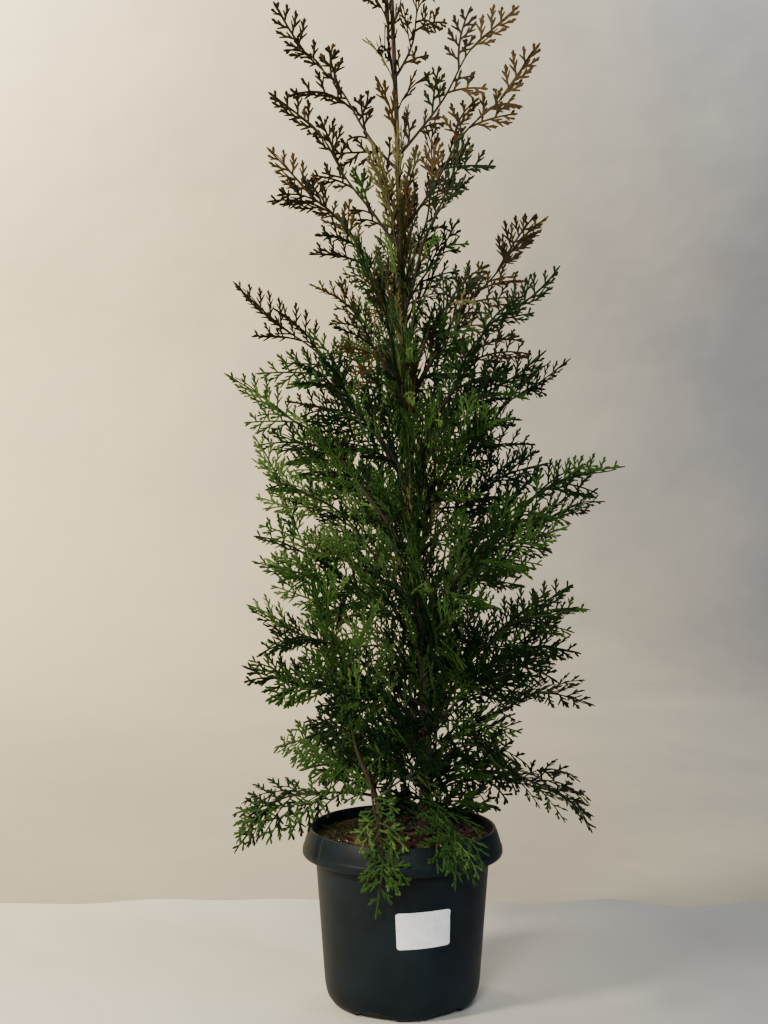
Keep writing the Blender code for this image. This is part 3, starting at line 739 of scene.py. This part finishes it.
inner_leaders = []
for k, foot in enumerate(np.arange(*INNER_FEET)):
    length, rise, lift, reach = (np.interp(foot, INNER_HEIGHTS, column) for column in zip(*INNER_HABITS))
    habit = length, rise, lift, 0.0, reach, 20
    inner_leaders.append(Leader(f"inner_{k}", "trunk", foot, 40 + GOLDEN_ANGLE * k, *habit))

woody, green = [], []
for number, leader in enumerate(leaders + inner_leaders):
    sunk = max(0.0, leader.first - SUNK / leader.length)
    carried = np.interp(leader.path[0, 2], *np.array(CARRIERS[leader.carrier])[:, [0, 3]].T)
    own = FOOT_TAPER[0] + FOOT_TAPER[1] * leader.length
    foot_radius = min(own, THICKEST_FOOT * carried - TWIG_RADIUS)
    woody.append(leader.limb(sunk, WOODY_SHARE, 44, 10, foot_radius, 100 + number))
    green.append(leader.limb(WOODY_SHARE - 0.01, 0.97, 30, 7, foot_radius, 200 + number))

# Bough bark: brown and finely flaked, greyer than the trunk's. Shoot bark: the first year's
# skin, an olive brown that still shows the green under it.
bough_bark = bark_finish("bough_bark", "14110a", "231e13", "1d180e", 0.75, 1.00)
shoot_bark = mottled_finish(
    "shoot_bark", "181d0d", 0.70, 0.18, (3, 4.0), ("10150a", "232713"), rise=(0.25, 0.6))

boughs = add_piece("boughs", *joined(woody), bough_bark, "bark", crease=70)
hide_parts(*sorted(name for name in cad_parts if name.startswith("bough_")))
shoots = add_piece("leading_shoots", *joined(green), shoot_bark, "foliage", crease=70)
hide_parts(*sorted(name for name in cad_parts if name.startswith("mass_")))


# Sprays. Flat twigs clad in small scale leaves, which branch turn about in one plane: a spray, its
# branchlets, and a comb of short blunt segments on each. Deep green low down and inside, they go
# through mid and yellow-green to olive and winter bronze at the top, where they thin out. More deep
# green is dealt on the right and more fresh green on the left, as painted shade and light. The
# deep green inside the crown and the near-black brown at the top are partly painted shade.

SPRAY_SPACING = 0.031
SPRAY_ANGLE = 52.0
SPRAY_CLOSING = 14.0
SPRAY_ROLL = 26.0
SPRAY_SHORTEST = 0.030
FIRST_SPRAY = 0.05
SPRAYED = 0.86
LAST_SPRAY = 0.97
ARCH_HEIGHTS = (0.24, 0.36, 0.80, 1.00)
SPRAY_ARCH = (0.26, 0.17, 0.17, 0.30)
SHRINKS = (1.0, 0.78, 0.6, 0.45)
CORNER_GAP = 0.0006
FILL_HEIGHTS = (0.20, 0.34, 0.66, 0.78, 1.00, 1.10)
FILLERS = (3.4, 2.2, 2.7, 1.5, 1.2, 1.6)
SPRIG_FILLERS = 5
FILLER_ROLL = 55.0
FILLER_LENGTHS = (0.65, 1.2)
FILLER_SHORTEST = 0.026
HANG_HEIGHTS = (0.24, 0.36)
HANG = (0.55, 0.0)
LEVEL_HEIGHTS = (0.25, 0.45, 0.80, 0.95)
LEVELLED = (0.5, 1.0, 0.7, 0.25)
BARE_LIMB_SPACING = 0.009
STRAND_ANGLE = 25.0
STRAND_THINNING = 1.5
STRAND_HEIGHTS = (0.20, 0.40, 0.80, 0.92, 1.14)
STRAND_LENGTHS = (0.076, 0.105, 0.110, 0.080, 0.060)
STRAND_PITCH = (62.0, 82.0)
LEANING_HEIGHTS = (0.20, 0.30, 0.46, 0.92, 1.00)
LEANING = (64, 16, 0, 0, 22)
BRANCHLET_ANGLE = 52.0
SHORTEST_BRANCHLET = 0.0115
SEGMENT_ANGLE = 31.0
FORWARD_BEND = 0.24

# Three values each: for the lush skirt of the crown, its fine-combed body, and its coarse top.
HABIT_HEIGHTS = (0.30, 0.44, 0.80, 1.00)
BRANCHLET_PITCH = (0.0080, 0.0072, 0.0076)
BRANCHLET_LENGTH = (0.036, 0.030, 0.028)
BRANCHLET_LIFT = (0.2, 0.9, 0.5)
BRANCHLET_FOOT = (0.0026, 0.0020, 0.0027)
BRANCHLET_END = (0.0020, 0.0015, 0.0021)
SPRAY_END = (0.0018, 0.0015, 0.0022)
SEGMENT_LENGTH = (0.0125, 0.0092, 0.0110)
SEGMENT_PITCH = (0.0045, 0.0038, 0.0044)
SEGMENT_WIDTH = (0.0030, 0.0023, 0.0032)

# Each tone: its colour, and at four heights its share of the sprays on the boughs, and of the
# upright strands beside the trunk. Some leaders draw from tones of their own.
TONE_HEIGHTS = (0.30, 0.68, 0.86, 1.00)
TONES = {
    "deep_green": ("091b06", (0.56, 0.48, 0.30, 0.00), (0.36, 0.06, 0.02, 0.00)),
    "mid_green": ("243c13", (0.40, 0.38, 0.03, 0.00), (0.44, 0.18, 0.00, 0.00)),
    "fresh_green": ("3b5224", (0.10, 0.22, 0.00, 0.00), (0.18, 0.20, 0.00, 0.00)),
    "olive": ("464527", (0.00, 0.00, 0.07, 0.06), (0.04, 0.42, 0.44, 0.12)),
    "bronze": ("35280e", (0.00, 0.00, 0.13, 0.38), (0.00, 0.18, 0.34, 0.48)),
    # Dusk brown, near black, takes most of the top: partly winter colour and partly painted shade of the
    # crown's top.
    "dusk_brown": ("181306", (0.00, 0.00, 0.34, 0.62), (0.00, 0.00, 0.10, 0.40)),
}
TONE_NAMES = list(TONES)
OWN_TONES = {
    "hanging_sprig": ("mid_green", "mid_green", "fresh_green"),
    "01b": ("mid_green", "mid_green", "fresh_green"),
    "09b": ("bronze", "bronze", "bronze", "dusk_brown"),
}
OWN_SHARE = 0.35


class Twigs:
    """Many twigs at once. Each is the curve (1-t)^2 root + 2t(1-t) bend + t^2 tip, lies flat
    square to its face, and has the number of its tone."""

    def __init__(self, *columns):
        self.columns = columns
        self.root, self.bend, self.tip, self.face, self.tone = columns
        self.length = np.linalg.norm(self.tip - self.root, axis=-1)

    def pick(self, which):
        """Those twigs that a mask or an index names."""
        return Twigs(*(column[which] for column in self.columns))

    def at(self, t):
        """Point and direction at a share t of each curve."""
        t = t[:, None]
        point = (1 - t) ** 2 * self.root + 2 * t * (1 - t) * self.bend + t**2 * self.tip
        return point, unit((1 - t) * (self.bend - self.root) + t * (self.tip - self.bend))

    def between(self, values):
        """The three values of a habit, drawn out over the heights of the roots."""
        low, body, top = values
        return np.interp(self.root[:, 2], HABIT_HEIGHTS, (low, body, body, top))


def side_twigs(parents, pitch, first, last, angle, reach, lift, ruffle, rng):
    """The side twigs of every parent at once, turn about on its two flanks.

    Twig k of n = length / pitch leaves at t = first + (last - first)(k + 0.5) / n. Its chord
    stands at the angle to the parent, which closes by a quarter towards the tip, and is lifted
    towards +Z by up to the lift. It starts wider than that by the forward bend. Its face is the
    parent's, turned by up to the ruffle.
    """
    count = np.maximum(2, np.round(parents.length * (last - first) / pitch)).astype(int)
    owner = np.repeat(np.arange(len(count)), count)
    k = np.arange(len(owner)) - np.repeat(np.cumsum(count) - count, count)
    t = first + (last - first) * (k + 0.5 + rng.uniform(-0.12, 0.12, len(k))) / count[owner]
    carried = parents.pick(owner)
    point, ahead = carried.at(t)
    flank = np.where((k + rng.integers(0, 2, len(count))[owner]) % 2, 1.0, -1.0)[:, None]
    face = unit(carried.face - ahead * (carried.face * ahead).sum(1, keepdims=True))
    across = np.cross(face, ahead) * flank
    opening = np.broadcast_to(angle, len(count))[owner] * (1 - 0.25 * t)
    opening = np.radians(opening + rng.uniform(-4, 4, len(t)))[:, None]
    lifted = (lift * rng.uniform(0.3, 1, len(count)))[owner][:, None]
    rise = lifted * (np.array([0, 0, 1]) - face * face[:, 2:])
    length = (reach(carried, t) * rng.uniform(0.88, 1.05, len(t)))[:, None]
    chord, wide = (
        unit(ahead * np.cos(opening + more) + across * np.sin(opening + more) + rise)
        for more in (0, FORWARD_BEND))
    tip = point + length * unit(chord + 0.10 * rng.uniform(-1, 1, (len(t), 1)) * face)
    turn = np.radians(rng.uniform(-ruffle, ruffle, len(t)))[:, None]
    turned = face * np.cos(turn) + np.cross(chord, face) * np.sin(turn)
    return Twigs(point, point + 0.5 * length * wide, tip, turned, carried.tone)


def branchlet_reach(parents, t):
    """min(0.45 L, limit) min(1, (1.08 - t) / 0.62) min(1, (t + 0.22) / 0.42), and 6.5 mm at the
    least: as long as can be from a fifth to half of the spray, and shorter to its tip."""
    most = np.minimum(0.45 * parents.length, parents.between(BRANCHLET_LENGTH))
    shape = np.minimum(1, (1.08 - t) / 0.62) * np.minimum(1, (t + 0.22) / 0.42)
    return np.maximum(most * shape, 0.0065)


def segment_reach(parents, t):
    """0.5 L (1.05 - t) + 1 mm, and at most the limit at the height, so a branchlet narrows to
    its tip."""
    return np.minimum(0.50 * parents.length * (1.05 - t) + 0.001, parents.between(SEGMENT_LENGTH))


def tone_at(point, rng, outer=0.5, strand=False):
    """The number of a tone drawn by its share at the height. Deep green is dealt more on the right
    and fresh green more on the left, as painted shade and light of the window's side. Fresh green
    out at the ends of the boughs and deep green inside are partly the colours of young and old
    foliage and partly painted shade inside the crown."""
    shares = np.array([np.interp(point[2], TONE_HEIGHTS, tone[1 + strand]) for tone in TONES.values()])
    deep, fresh = TONE_NAMES.index("deep_green"), TONE_NAMES.index("fresh_green")
    # Painted shade and light: deep green grows with x to the right and fresh green to the left; the outer
    # share is partly age colour and partly painted shade inside.
    shares[deep] *= (1.2 - 0.5 * outer) * np.clip(1 + 7 * point[0], 0.60, 2.2)
    shares[fresh] *= (0.4 + 1.2 * outer) * np.clip(0.7 - 9 * point[0], 0.02, 1.9)
    drawn = np.searchsorted(np.cumsum(shares / shares.sum()), rng.random(), "right")
    return int(min(drawn, len(TONES) - 1))


def one_spray(point, direction, face, outward, length, tone, rng):
    """A spray from a limb, which leaves it steeply, arches over towards its tip, and sways."""
    tip = point + length * direction
    upward = np.array([0, 0, 1]) - direction * direction[2]
    sway = rng.uniform(-0.09, 0.15) * np.interp(point[2], (0.8, 1.0), (1, 2))
    arch = np.interp(point[2], ARCH_HEIGHTS, SPRAY_ARCH)
    bend = (point + tip) / 2 + length * (arch * upward + sway * outward)
    return point, bend, tip, face, tone


def leaving(leader, share, side, angle, roll):
    """Where a spray leaves a limb at a share of its length, its direction, at an angle to the
    limb and rolled out of the fan, in degrees, the way it goes out, and the fan's normal."""
    angle, roll = math.radians(angle), math.radians(roll)
    point, ahead, normal = leader.at(share)
    out = (np.cross(normal, ahead) * math.cos(roll) + normal * math.sin(roll)) * side
    return point, unit(ahead * math.cos(angle) + out * math.sin(angle)), out, normal


def squared(normal, direction):
    """The normal turned square to a direction."""
    return unit(np.cross(direction, np.cross(normal, direction)))


def length_in_solid(point, direction, wanted, skin):
    """The first of the shrinking lengths that ends at a corner of the leader's solid."""
    for shrink in SHRINKS:
        length = max(wanted * shrink, SPRAY_SHORTEST)
        if not skin or skin.find_nearest(Vector(point + length * direction))[3] < CORNER_GAP:
            return length
    return wanted * SHRINKS[-1]


def leader_sprays(leader):
    """The sprays of one leader, whose length is reach sin(pi (0.30 + 0.62 t))^0.8 at a share t of
    its leafy run, and shorter near the tip. They are the source's own, as long as they are in
    its solid, and between them fillers that roll further out of its plane, level out or hang, so
    that the crown fills inside the same reach. The last one carries the limb's own curve on."""
    rng = leader.rng
    filler = random.Random("filler " + leader.name)
    solid = "mass_" + leader.name
    skin = skin_of(solid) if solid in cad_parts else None
    sprig = leader.name == "hanging_sprig"
    own_tones = OWN_TONES.get(leader.name)
    if own_tones:
        usual_tone = TONE_NAMES.index(own_tones[0])
    else:
        usual_tone = tone_at(leader.path[leader.steps * 2 // 3], filler)
    start = max(leader.bare, leader.first)
    count = max(4, round((1 - start) * leader.length / SPRAY_SPACING))
    run = (leader.path[-1] - leader.path[0]) * (1, 1, 0)
    furthest = max(np.linalg.norm(run), 0.05) + 0.004
    run = run / np.linalg.norm(run)
    rows = []
    for k in range(count):
        through = (k + 0.5) / count
        height = leader.at(through)[0][2]
        own_turn, own_roll = rng.uniform(-6, 6), rng.uniform(-SPRAY_ROLL, SPRAY_ROLL)
        wanted = leader.reach * math.sin(math.pi * (0.30 + 0.62 * through)) ** 0.8
        wanted *= 0.55 + 0.75 * through if sprig else np.interp(through, (0.6, 1.0), (1.0, 0.7))
        thinned = 1 - through * np.interp(height, (0.25, 0.45), (0.30, 0.95))
        fillers = SPRIG_FILLERS if sprig else round(np.interp(height, FILL_HEIGHTS, FILLERS) * thinned)
        for extra in range(fillers + 1):
            step = SPRAYED * (k + extra / (fillers + 1)) / count
            share = min(start + (1 - start) * (FIRST_SPRAY + step), LAST_SPRAY)
            turn, roll = own_turn, own_roll
            if extra:
                turn = filler.uniform(-14, 8)
                roll = filler.uniform(-FILLER_ROLL, FILLER_ROLL) * (0.3 if sprig else 1)
            angle = SPRAY_ANGLE - SPRAY_CLOSING * through + turn
            side = 1 if (k + extra) % 2 else -1
            point, direction, out, normal = leaving(leader, share, side, angle, roll)
            if extra:
                if not sprig:
                    levelled = np.interp(height, LEVEL_HEIGHTS, LEVELLED) * min(1, 3 * share)
                    hang = np.interp(height, HANG_HEIGHTS, HANG) * min(1, 2 * share)
                    direction = unit(direction + levelled * run - (0, 0, hang))
                room = furthest - (point - leader.path[0]).dot(run)
                length = wanted * filler.uniform(*FILLER_LENGTHS)
                length = min(length, room / max(direction.dot(run), 0.05))
                if length < FILLER_SHORTEST:
                    continue
            else:
                length = length_in_solid(point, direction, wanted, skin)
            if own_tones:
                tone = TONE_NAMES.index(filler.choice(own_tones))
            else:
                tone = usual_tone if filler.random() < OWN_SHARE else tone_at(point, filler, share)
            face = squared(normal, direction)
            outward = unit(out - direction * out.dot(direction))
            rows.append(one_spray(point, direction, face, outward, length, tone, filler))
    tail = leader.reach / leader.length
    root, middle, tip = (leader.at(share) for share in (1 - tail, 1 - tail / 2, 1))
    end = tip[0] + (0.020 if sprig else 0.004) * tip[1]
    rows.append((root[0], 2 * middle[0] - (root[0] + end) / 2, end, root[2], usual_tone))
    return rows


def bare_limb_sprays(leader):
    """Short sprays along the bare foot of a long bough, of the kind that hides it."""
    rng = random.Random("bare limb " + leader.name)
    rows = []
    for k in range(round(leader.bare * leader.length / BARE_LIMB_SPACING)):
        share = leader.bare * rng.uniform(0.2, 1.0)
        angle, roll = rng.uniform(36, 56), rng.uniform(-80, 80)
        point, direction, out, normal = leaving(leader, share, (-1) ** k, angle, roll)
        length = rng.uniform(0.45, 0.75) * leader.reach
        tone = tone_at(point, rng)
        rows.append(one_spray(point, direction, squared(normal, direction), out, length, tone, rng))
    return rows


def stem_sprays(stations, heights):
    """Steep sprays that grow straight from a stem between the boughs, each a golden angle round
    from the last, and show as upright lines of olive and bronze beside it. Near the soil and at
    the top they lean out."""
    rng = random.Random("stem sprays")
    rows = []
    for k, height in enumerate(heights):
        turn = math.radians(GOLDEN_ANGLE * k + rng.uniform(-20, 20))
        pitch = math.radians(rng.uniform(*STRAND_PITCH) - np.interp(height, LEANING_HEIGHTS, LEANING))
        out = np.array([math.cos(turn), math.sin(turn), 0.0])
        direction = out * math.cos(pitch) + np.array([0, 0, math.sin(pitch)])
        twist = math.radians(rng.uniform(-85, 85))
        tangent = np.array([-math.sin(turn), math.cos(turn), 0.0])
        face = unit(tangent * math.cos(twist) + np.cross(direction, tangent) * math.sin(twist))
        point = point_on(stations, height) + 0.002 * out
        length = np.interp(height, STRAND_HEIGHTS, STRAND_LENGTHS) * rng.uniform(0.6, 1.1)
        rows.append(one_spray(point, direction, face, out, length, tone_at(point, rng, strand=True), rng))
    return rows


def ends_of(twigs, share):
    """The last part of each twig, as a straight twig of its own."""
    point, _ = twigs.at(np.full(len(twigs.length), share))
    return Twigs(point, (point + twigs.tip) / 2, twigs.tip, twigs.face, twigs.tone)


draws = np.random.default_rng(11)
at_foot, at_top = np.linspace(0.20, 0.26, 8), np.linspace(0.93, 1.14, 8)
among_boughs = 0.196 + 0.704 * np.linspace(0, 1, 134) ** 1.45
rows = stem_sprays(TRUNK, np.concatenate([at_foot, among_boughs, at_top]))
rows += stem_sprays(SECOND_STEM, np.linspace(0.235, 0.425, 26))
strands = len(rows)
for leader in leaders + inner_leaders:
    rows += leader_sprays(leader)
    rows += bare_limb_sprays(leader)
sprays = Twigs(*(np.array(column) for column in zip(*rows)))
is_strand = np.arange(len(rows)) < strands
pitch = sprays.between(BRANCHLET_PITCH) * np.where(is_strand, STRAND_THINNING, 1)
angle = np.where(is_strand, STRAND_ANGLE, BRANCHLET_ANGLE)
lift = sprays.between(BRANCHLET_LIFT)
branchlets = side_twigs(sprays, pitch, 0.08, 0.93, angle, branchlet_reach, lift, 12, draws)
bearing = branchlets.pick(branchlets.length >= SHORTEST_BRANCHLET)
plain = branchlets.pick(branchlets.length < SHORTEST_BRANCHLET)
pitch = bearing.between(SEGMENT_PITCH)
segments = side_twigs(bearing, pitch, 0.10, 0.88, SEGMENT_ANGLE, segment_reach, 0, 14, draws)
ended = plain.columns, ends_of(bearing, 0.62).columns, ends_of(sprays, 0.84).columns
tips = Twigs(*(np.concatenate(column) for column in zip(*ended)))


# A segment is flat beneath, with a low ridge above: broad at its foot and blunt at its end. A tip
# is longer and bluntly pointed. Both are (along, across, up), where across and up are in widths,
# and so is the (across, up) section of a stalk.
SEGMENT_SHAPE = np.array([(0, 0.50, 0), (0, -0.50, 0), (1, 0.28, 0), (1, -0.28, 0), (0.6, 0, 0.36)])
SEGMENT_FACES = np.array([(0, 2, 3), (0, 3, 1), (1, 3, 4), (3, 2, 4), (2, 0, 4), (0, 1, 4)])
TIP_SHAPE = np.array([
    (0, 0.34, 0), (0, -0.34, 0), (0.74, 0.5, 0), (0.74, -0.5, 0), (1, 0, 0.05), (0.08, 0, 0.26),
    (0.70, 0, 0.34)])
TIP_FACES = np.array([
    (0, 2, 3), (0, 3, 1), (2, 4, 3), (1, 3, 6), (1, 6, 5), (3, 4, 6), (4, 2, 6), (2, 0, 5),
    (2, 5, 6), (0, 1, 5)])
STALK_SECTION = np.array([(0.5, -0.1), (0, 0.3), (-0.5, -0.1)])
TIP_BREADTH = 1.12


def leaf_skin(twigs, breadth, shape, faces):
    """A copy of the leaf's shape on each twig, as long as it, and as wide as a segment at the
    height times the breadth, give or take an eighth."""
    along = unit(twigs.tip - twigs.root)
    across = unit(np.cross(twigs.face, along))
    frames = np.stack([along, across, np.cross(along, across)], 1)
    width = breadth * twigs.between(SEGMENT_WIDTH) * draws.uniform(0.85, 1.10, len(along))
    return copies(shape, faces, twigs.root, frames, np.stack([twigs.length, width, width], -1))


def stalks_skin(twigs, spans, root_width, tip_width):
    """Flat stalks of a ridged section along the twigs' curves, capped at both ends."""
    sides = len(STALK_SECTION)
    rings = []
    for share in np.linspace(0, 1, spans + 1):
        point, ahead = twigs.at(np.full(len(twigs.length), share))
        across = unit(np.cross(twigs.face, ahead))[:, None]
        up = np.cross(ahead[:, None], across)
        wide = (root_width + (tip_width - root_width) * share)[:, None, None]
        rings.append(point[:, None] + wide * (STALK_SECTION[:, :1] * across + STALK_SECTION[:, 1:] * up))
    points = np.stack(rings, 1)
    corner = np.arange(sides)
    after = np.roll(corner, -1)
    base = sides * np.arange(spans)[:, None]
    low = np.stack([base + corner, base + after, base + after + sides], -1).reshape(-1, 3)
    high = np.stack([base + corner, base + after + sides, base + corner + sides], -1).reshape(-1, 3)
    fan = np.stack([np.zeros(sides - 2, int), corner[1:-1], corner[2:]], -1)
    faces = np.vstack([low, high, fan[:, ::-1], fan + sides * spans])
    offsets = np.arange(len(points))[:, None, None] * sides * (spans + 1)
    return points.reshape(-1, 3), [(faces[None] + offsets).reshape(-1, 3)]


def shaded(colour, factor):
    """A hex code with each of its parts times the factor."""
    return "".join(f"{int(int(colour[k:k + 2], 16) * factor):02x}" for k in (0, 2, 4))


# Scale leaves: a waxy skin with a soft sheen, its colour flecked by the pale scale edges.
for number, (tone, (colour, *_)) in enumerate(TONES.items()):
    flecked = shaded(colour, 0.80), shaded(colour, 1.16)
    finish = mottled_finish(
        "scale_leaf_" + tone, colour, 0.60, 0.10, (2.2, 3.0), flecked, (0.36, 0.66), (0.2, 0.5))
    comb, blunt, stalks, axes = (
        twigs.pick(twigs.tone == number) for twigs in (segments, tips, bearing, sprays))
    skins = {
        "scale_leaves_": leaf_skin(comb, 1, SEGMENT_SHAPE, SEGMENT_FACES),
        "leaf_tips_": leaf_skin(blunt, TIP_BREADTH, TIP_SHAPE, TIP_FACES),
        "branchlets_": stalks_skin(stalks, 2, stalks.between(BRANCHLET_FOOT), stalks.between(BRANCHLET_END)),
        "spray_stalks_": stalks_skin(
            axes, 6, axes.between((1, 1, 1.2)) * (0.0018 + 0.010 * axes.length), axes.between(SPRAY_END)),
    }
    for kind, skin in skins.items():
        add_piece(kind + tone, *skin, finish, "foliage")


# View. The photograph's place: 1.7 m in front of the plant at chest height and tipped slightly
# down, with a pale floor that curves up into a pale wall far behind, and soft light from the
# front left.

CAMERA_PLACE = (-0.0206, -1.712, 0.612)
CAMERA_PITCH = -2.2
PHOTO_HEIGHT_PX = 1024
PHOTO_FOCUS_PX = 1540
SWEEP_FRONT = -6.0
SWEEP_BACK = 3.6
SWEEP_RADIUS = 1.2
SWEEP_TOP = 4.5
SWEEP_HALF_WIDTH = 6.0
SWEEP_DROP = -0.006
SHEET_BACK = 0.34
SHEET_FRONT = -2.4
SHEET_HALF_WIDTH = 1.5
SHEET_CURL = 0.011
PAPER_MOTTLE = 0.22


def sweep_skin():
    """A floor that runs back, turns up by a quarter circle and goes on as a wall."""
    arc = np.radians(np.linspace(-90, 0, 17))[:, None]
    centre = (SWEEP_BACK - SWEEP_RADIUS, SWEEP_RADIUS)
    bend = np.hstack([centre[0] + SWEEP_RADIUS * np.cos(arc), centre[1] + SWEEP_RADIUS * np.sin(arc)])
    profile = np.vstack([[(SWEEP_FRONT, 0.0)], bend, [(SWEEP_BACK, SWEEP_TOP)]]) + (0, SWEEP_DROP)
    x = np.linspace(-SWEEP_HALF_WIDTH, SWEEP_HALF_WIDTH, 13)
    points = np.stack(np.broadcast_arrays(x[None], profile[:, :1], profile[:, 1:]), -1)
    return points.reshape(-1, 3), grid(*points.shape[:2])[1]


def sheet_skin():
    """A sheet under the pot, level but for its back edge, which wanders and curls off the floor
    by curl * s^2, where s runs from 0 to 1 over its last 70 mm."""
    x, share = np.meshgrid(np.linspace(-SHEET_HALF_WIDTH, SHEET_HALF_WIDTH, 241), np.linspace(0, 1, 121))
    back = SHEET_BACK + 0.012 * waves(x, 0 * x, (0.21, 0.55), 17)
    y = SHEET_FRONT + (back - SHEET_FRONT) * (1 - (1 - share) ** 2.5)
    rise = SHEET_CURL * (0.7 + 0.8 * waves(x, 0 * x, (0.16, 0.34), 4))
    z = rise * np.clip((y - back + 0.07) / 0.07, 0, 1) ** 2 - 0.0004
    return np.stack([x, y, z], -1).reshape(-1, 3), grid(*x.shape)[1]


def add_stage(name, points, quads, finish):
    """A smooth sheet that is only there for the picture."""
    mesh = bpy.data.meshes.new(name)
    mesh.from_pydata(points.tolist(), [], quads.tolist())
    mesh.shade_smooth()
    mesh.materials.append(finish)
    made = bpy.data.objects.new(name, mesh)
    bpy.context.scene.collection.objects.link(made)


def paper_with_painted_falloff(name, left, right, half_width):
    """Matt paper with painted light falloff: its colour goes from the lit tone on the left to the
    shaded tone on the right across its width. Soft creases lift its surface and shift the
    painted falloff in soft patches."""
    finish, tree, shader, place = start_finish(name, left, 0.9, 0.1)
    sideways = add_node(tree, "ShaderNodeSeparateXYZ", links={"Vector": place}).outputs["X"]
    values = {"From Min": -half_width, "From Max": half_width}
    # Painted light falloff: the place across the width picks the tone, lit on the left and shaded on the
    # right.
    shade = add_node(tree, "ShaderNodeMapRange", values, {"Value": sideways})
    creases = noise(tree, place, 420, 3.0)
    links = {0: creases, 2: shade.outputs["Result"]}
    mottled = add_node(tree, "ShaderNodeMath", {1: PAPER_MOTTLE}, links, operation="MULTIPLY_ADD")
    two_tone(tree, shader, mottled.outputs["Value"], left, right, (0.16, 1.0))
    relief(tree, shader, creases, 40, 0.8)
    return finish


def add_light(name, place, aim, size, watts, colour):
    """A round lamp at a place, turned to its aim."""
    lamp = bpy.data.lights.new(name, "AREA")
    lamp.shape = "DISK"
    lamp.size = size
    lamp.energy = watts
    lamp.color = linear(colour)[:3]
    made = bpy.data.objects.new(name, lamp)
    made.location = place
    made.rotation_euler = (Vector(aim) - Vector(place)).to_track_quat("-Z", "Y").to_euler()
    made.visible_camera = False
    bpy.context.scene.collection.objects.link(made)


# Backdrop and floor paper, with painted light: warm white on the window's side and painted grey
# shade away from it. On the floor sheet the grey also stands in for shade beside the plant.
add_stage("studio_sweep", *sweep_skin(), paper_with_painted_falloff("backdrop_paper", "d6ccaa", "717479", 1.6))
add_stage("floor_sheet", *sheet_skin(), paper_with_painted_falloff("floor_paper", "e0dac6", "8e9093", 0.5))

add_light("window", (-2.05, -1.35, 1.9), (0, 0, 0.65), 0.5, 128, "fff0dc")
add_light("front_fill", (-0.7, -3.0, 1.8), (0, 0, 0.5), 1.0, 116, "fbf6ea")
add_light("side_fill", (2.2, -1.2, 1.4), (0, 0, 0.5), 0.8, 32, "b8d4f6")
add_light("back_fill", (0.9, 2.1, 1.7), (0, 0, 0.6), 1.2, 28, "f2f0ea")
add_light("wall_wash", (-2.3, 2.2, 2.9), (-1.2, 3.6, 2.1), 1.0, 215, "fff0dc")
add_light("far_wall_wash", (1.6, 2.4, 3.2), (1.0, 3.6, 2.6), 1.0, 96, "fff6ec")

world = bpy.data.worlds.new("room")
world.use_nodes = True
sky = world.node_tree.nodes["Background"]
sky.inputs["Color"].default_value = linear("d2d6d8")
sky.inputs["Strength"].default_value = 0.04
bpy.context.scene.world = world

camera = bpy.data.cameras.new("camera")
camera.sensor_fit = "AUTO"
camera.sensor_width = 36.0
camera.lens = camera.sensor_width * PHOTO_FOCUS_PX / PHOTO_HEIGHT_PX
camera_object = bpy.data.objects.new("camera", camera)
camera_object.location = CAMERA_PLACE
camera_object.rotation_euler = (math.radians(90 + CAMERA_PITCH), 0, 0)
bpy.context.scene.collection.objects.link(camera_object)
bpy.context.scene.camera = camera_object
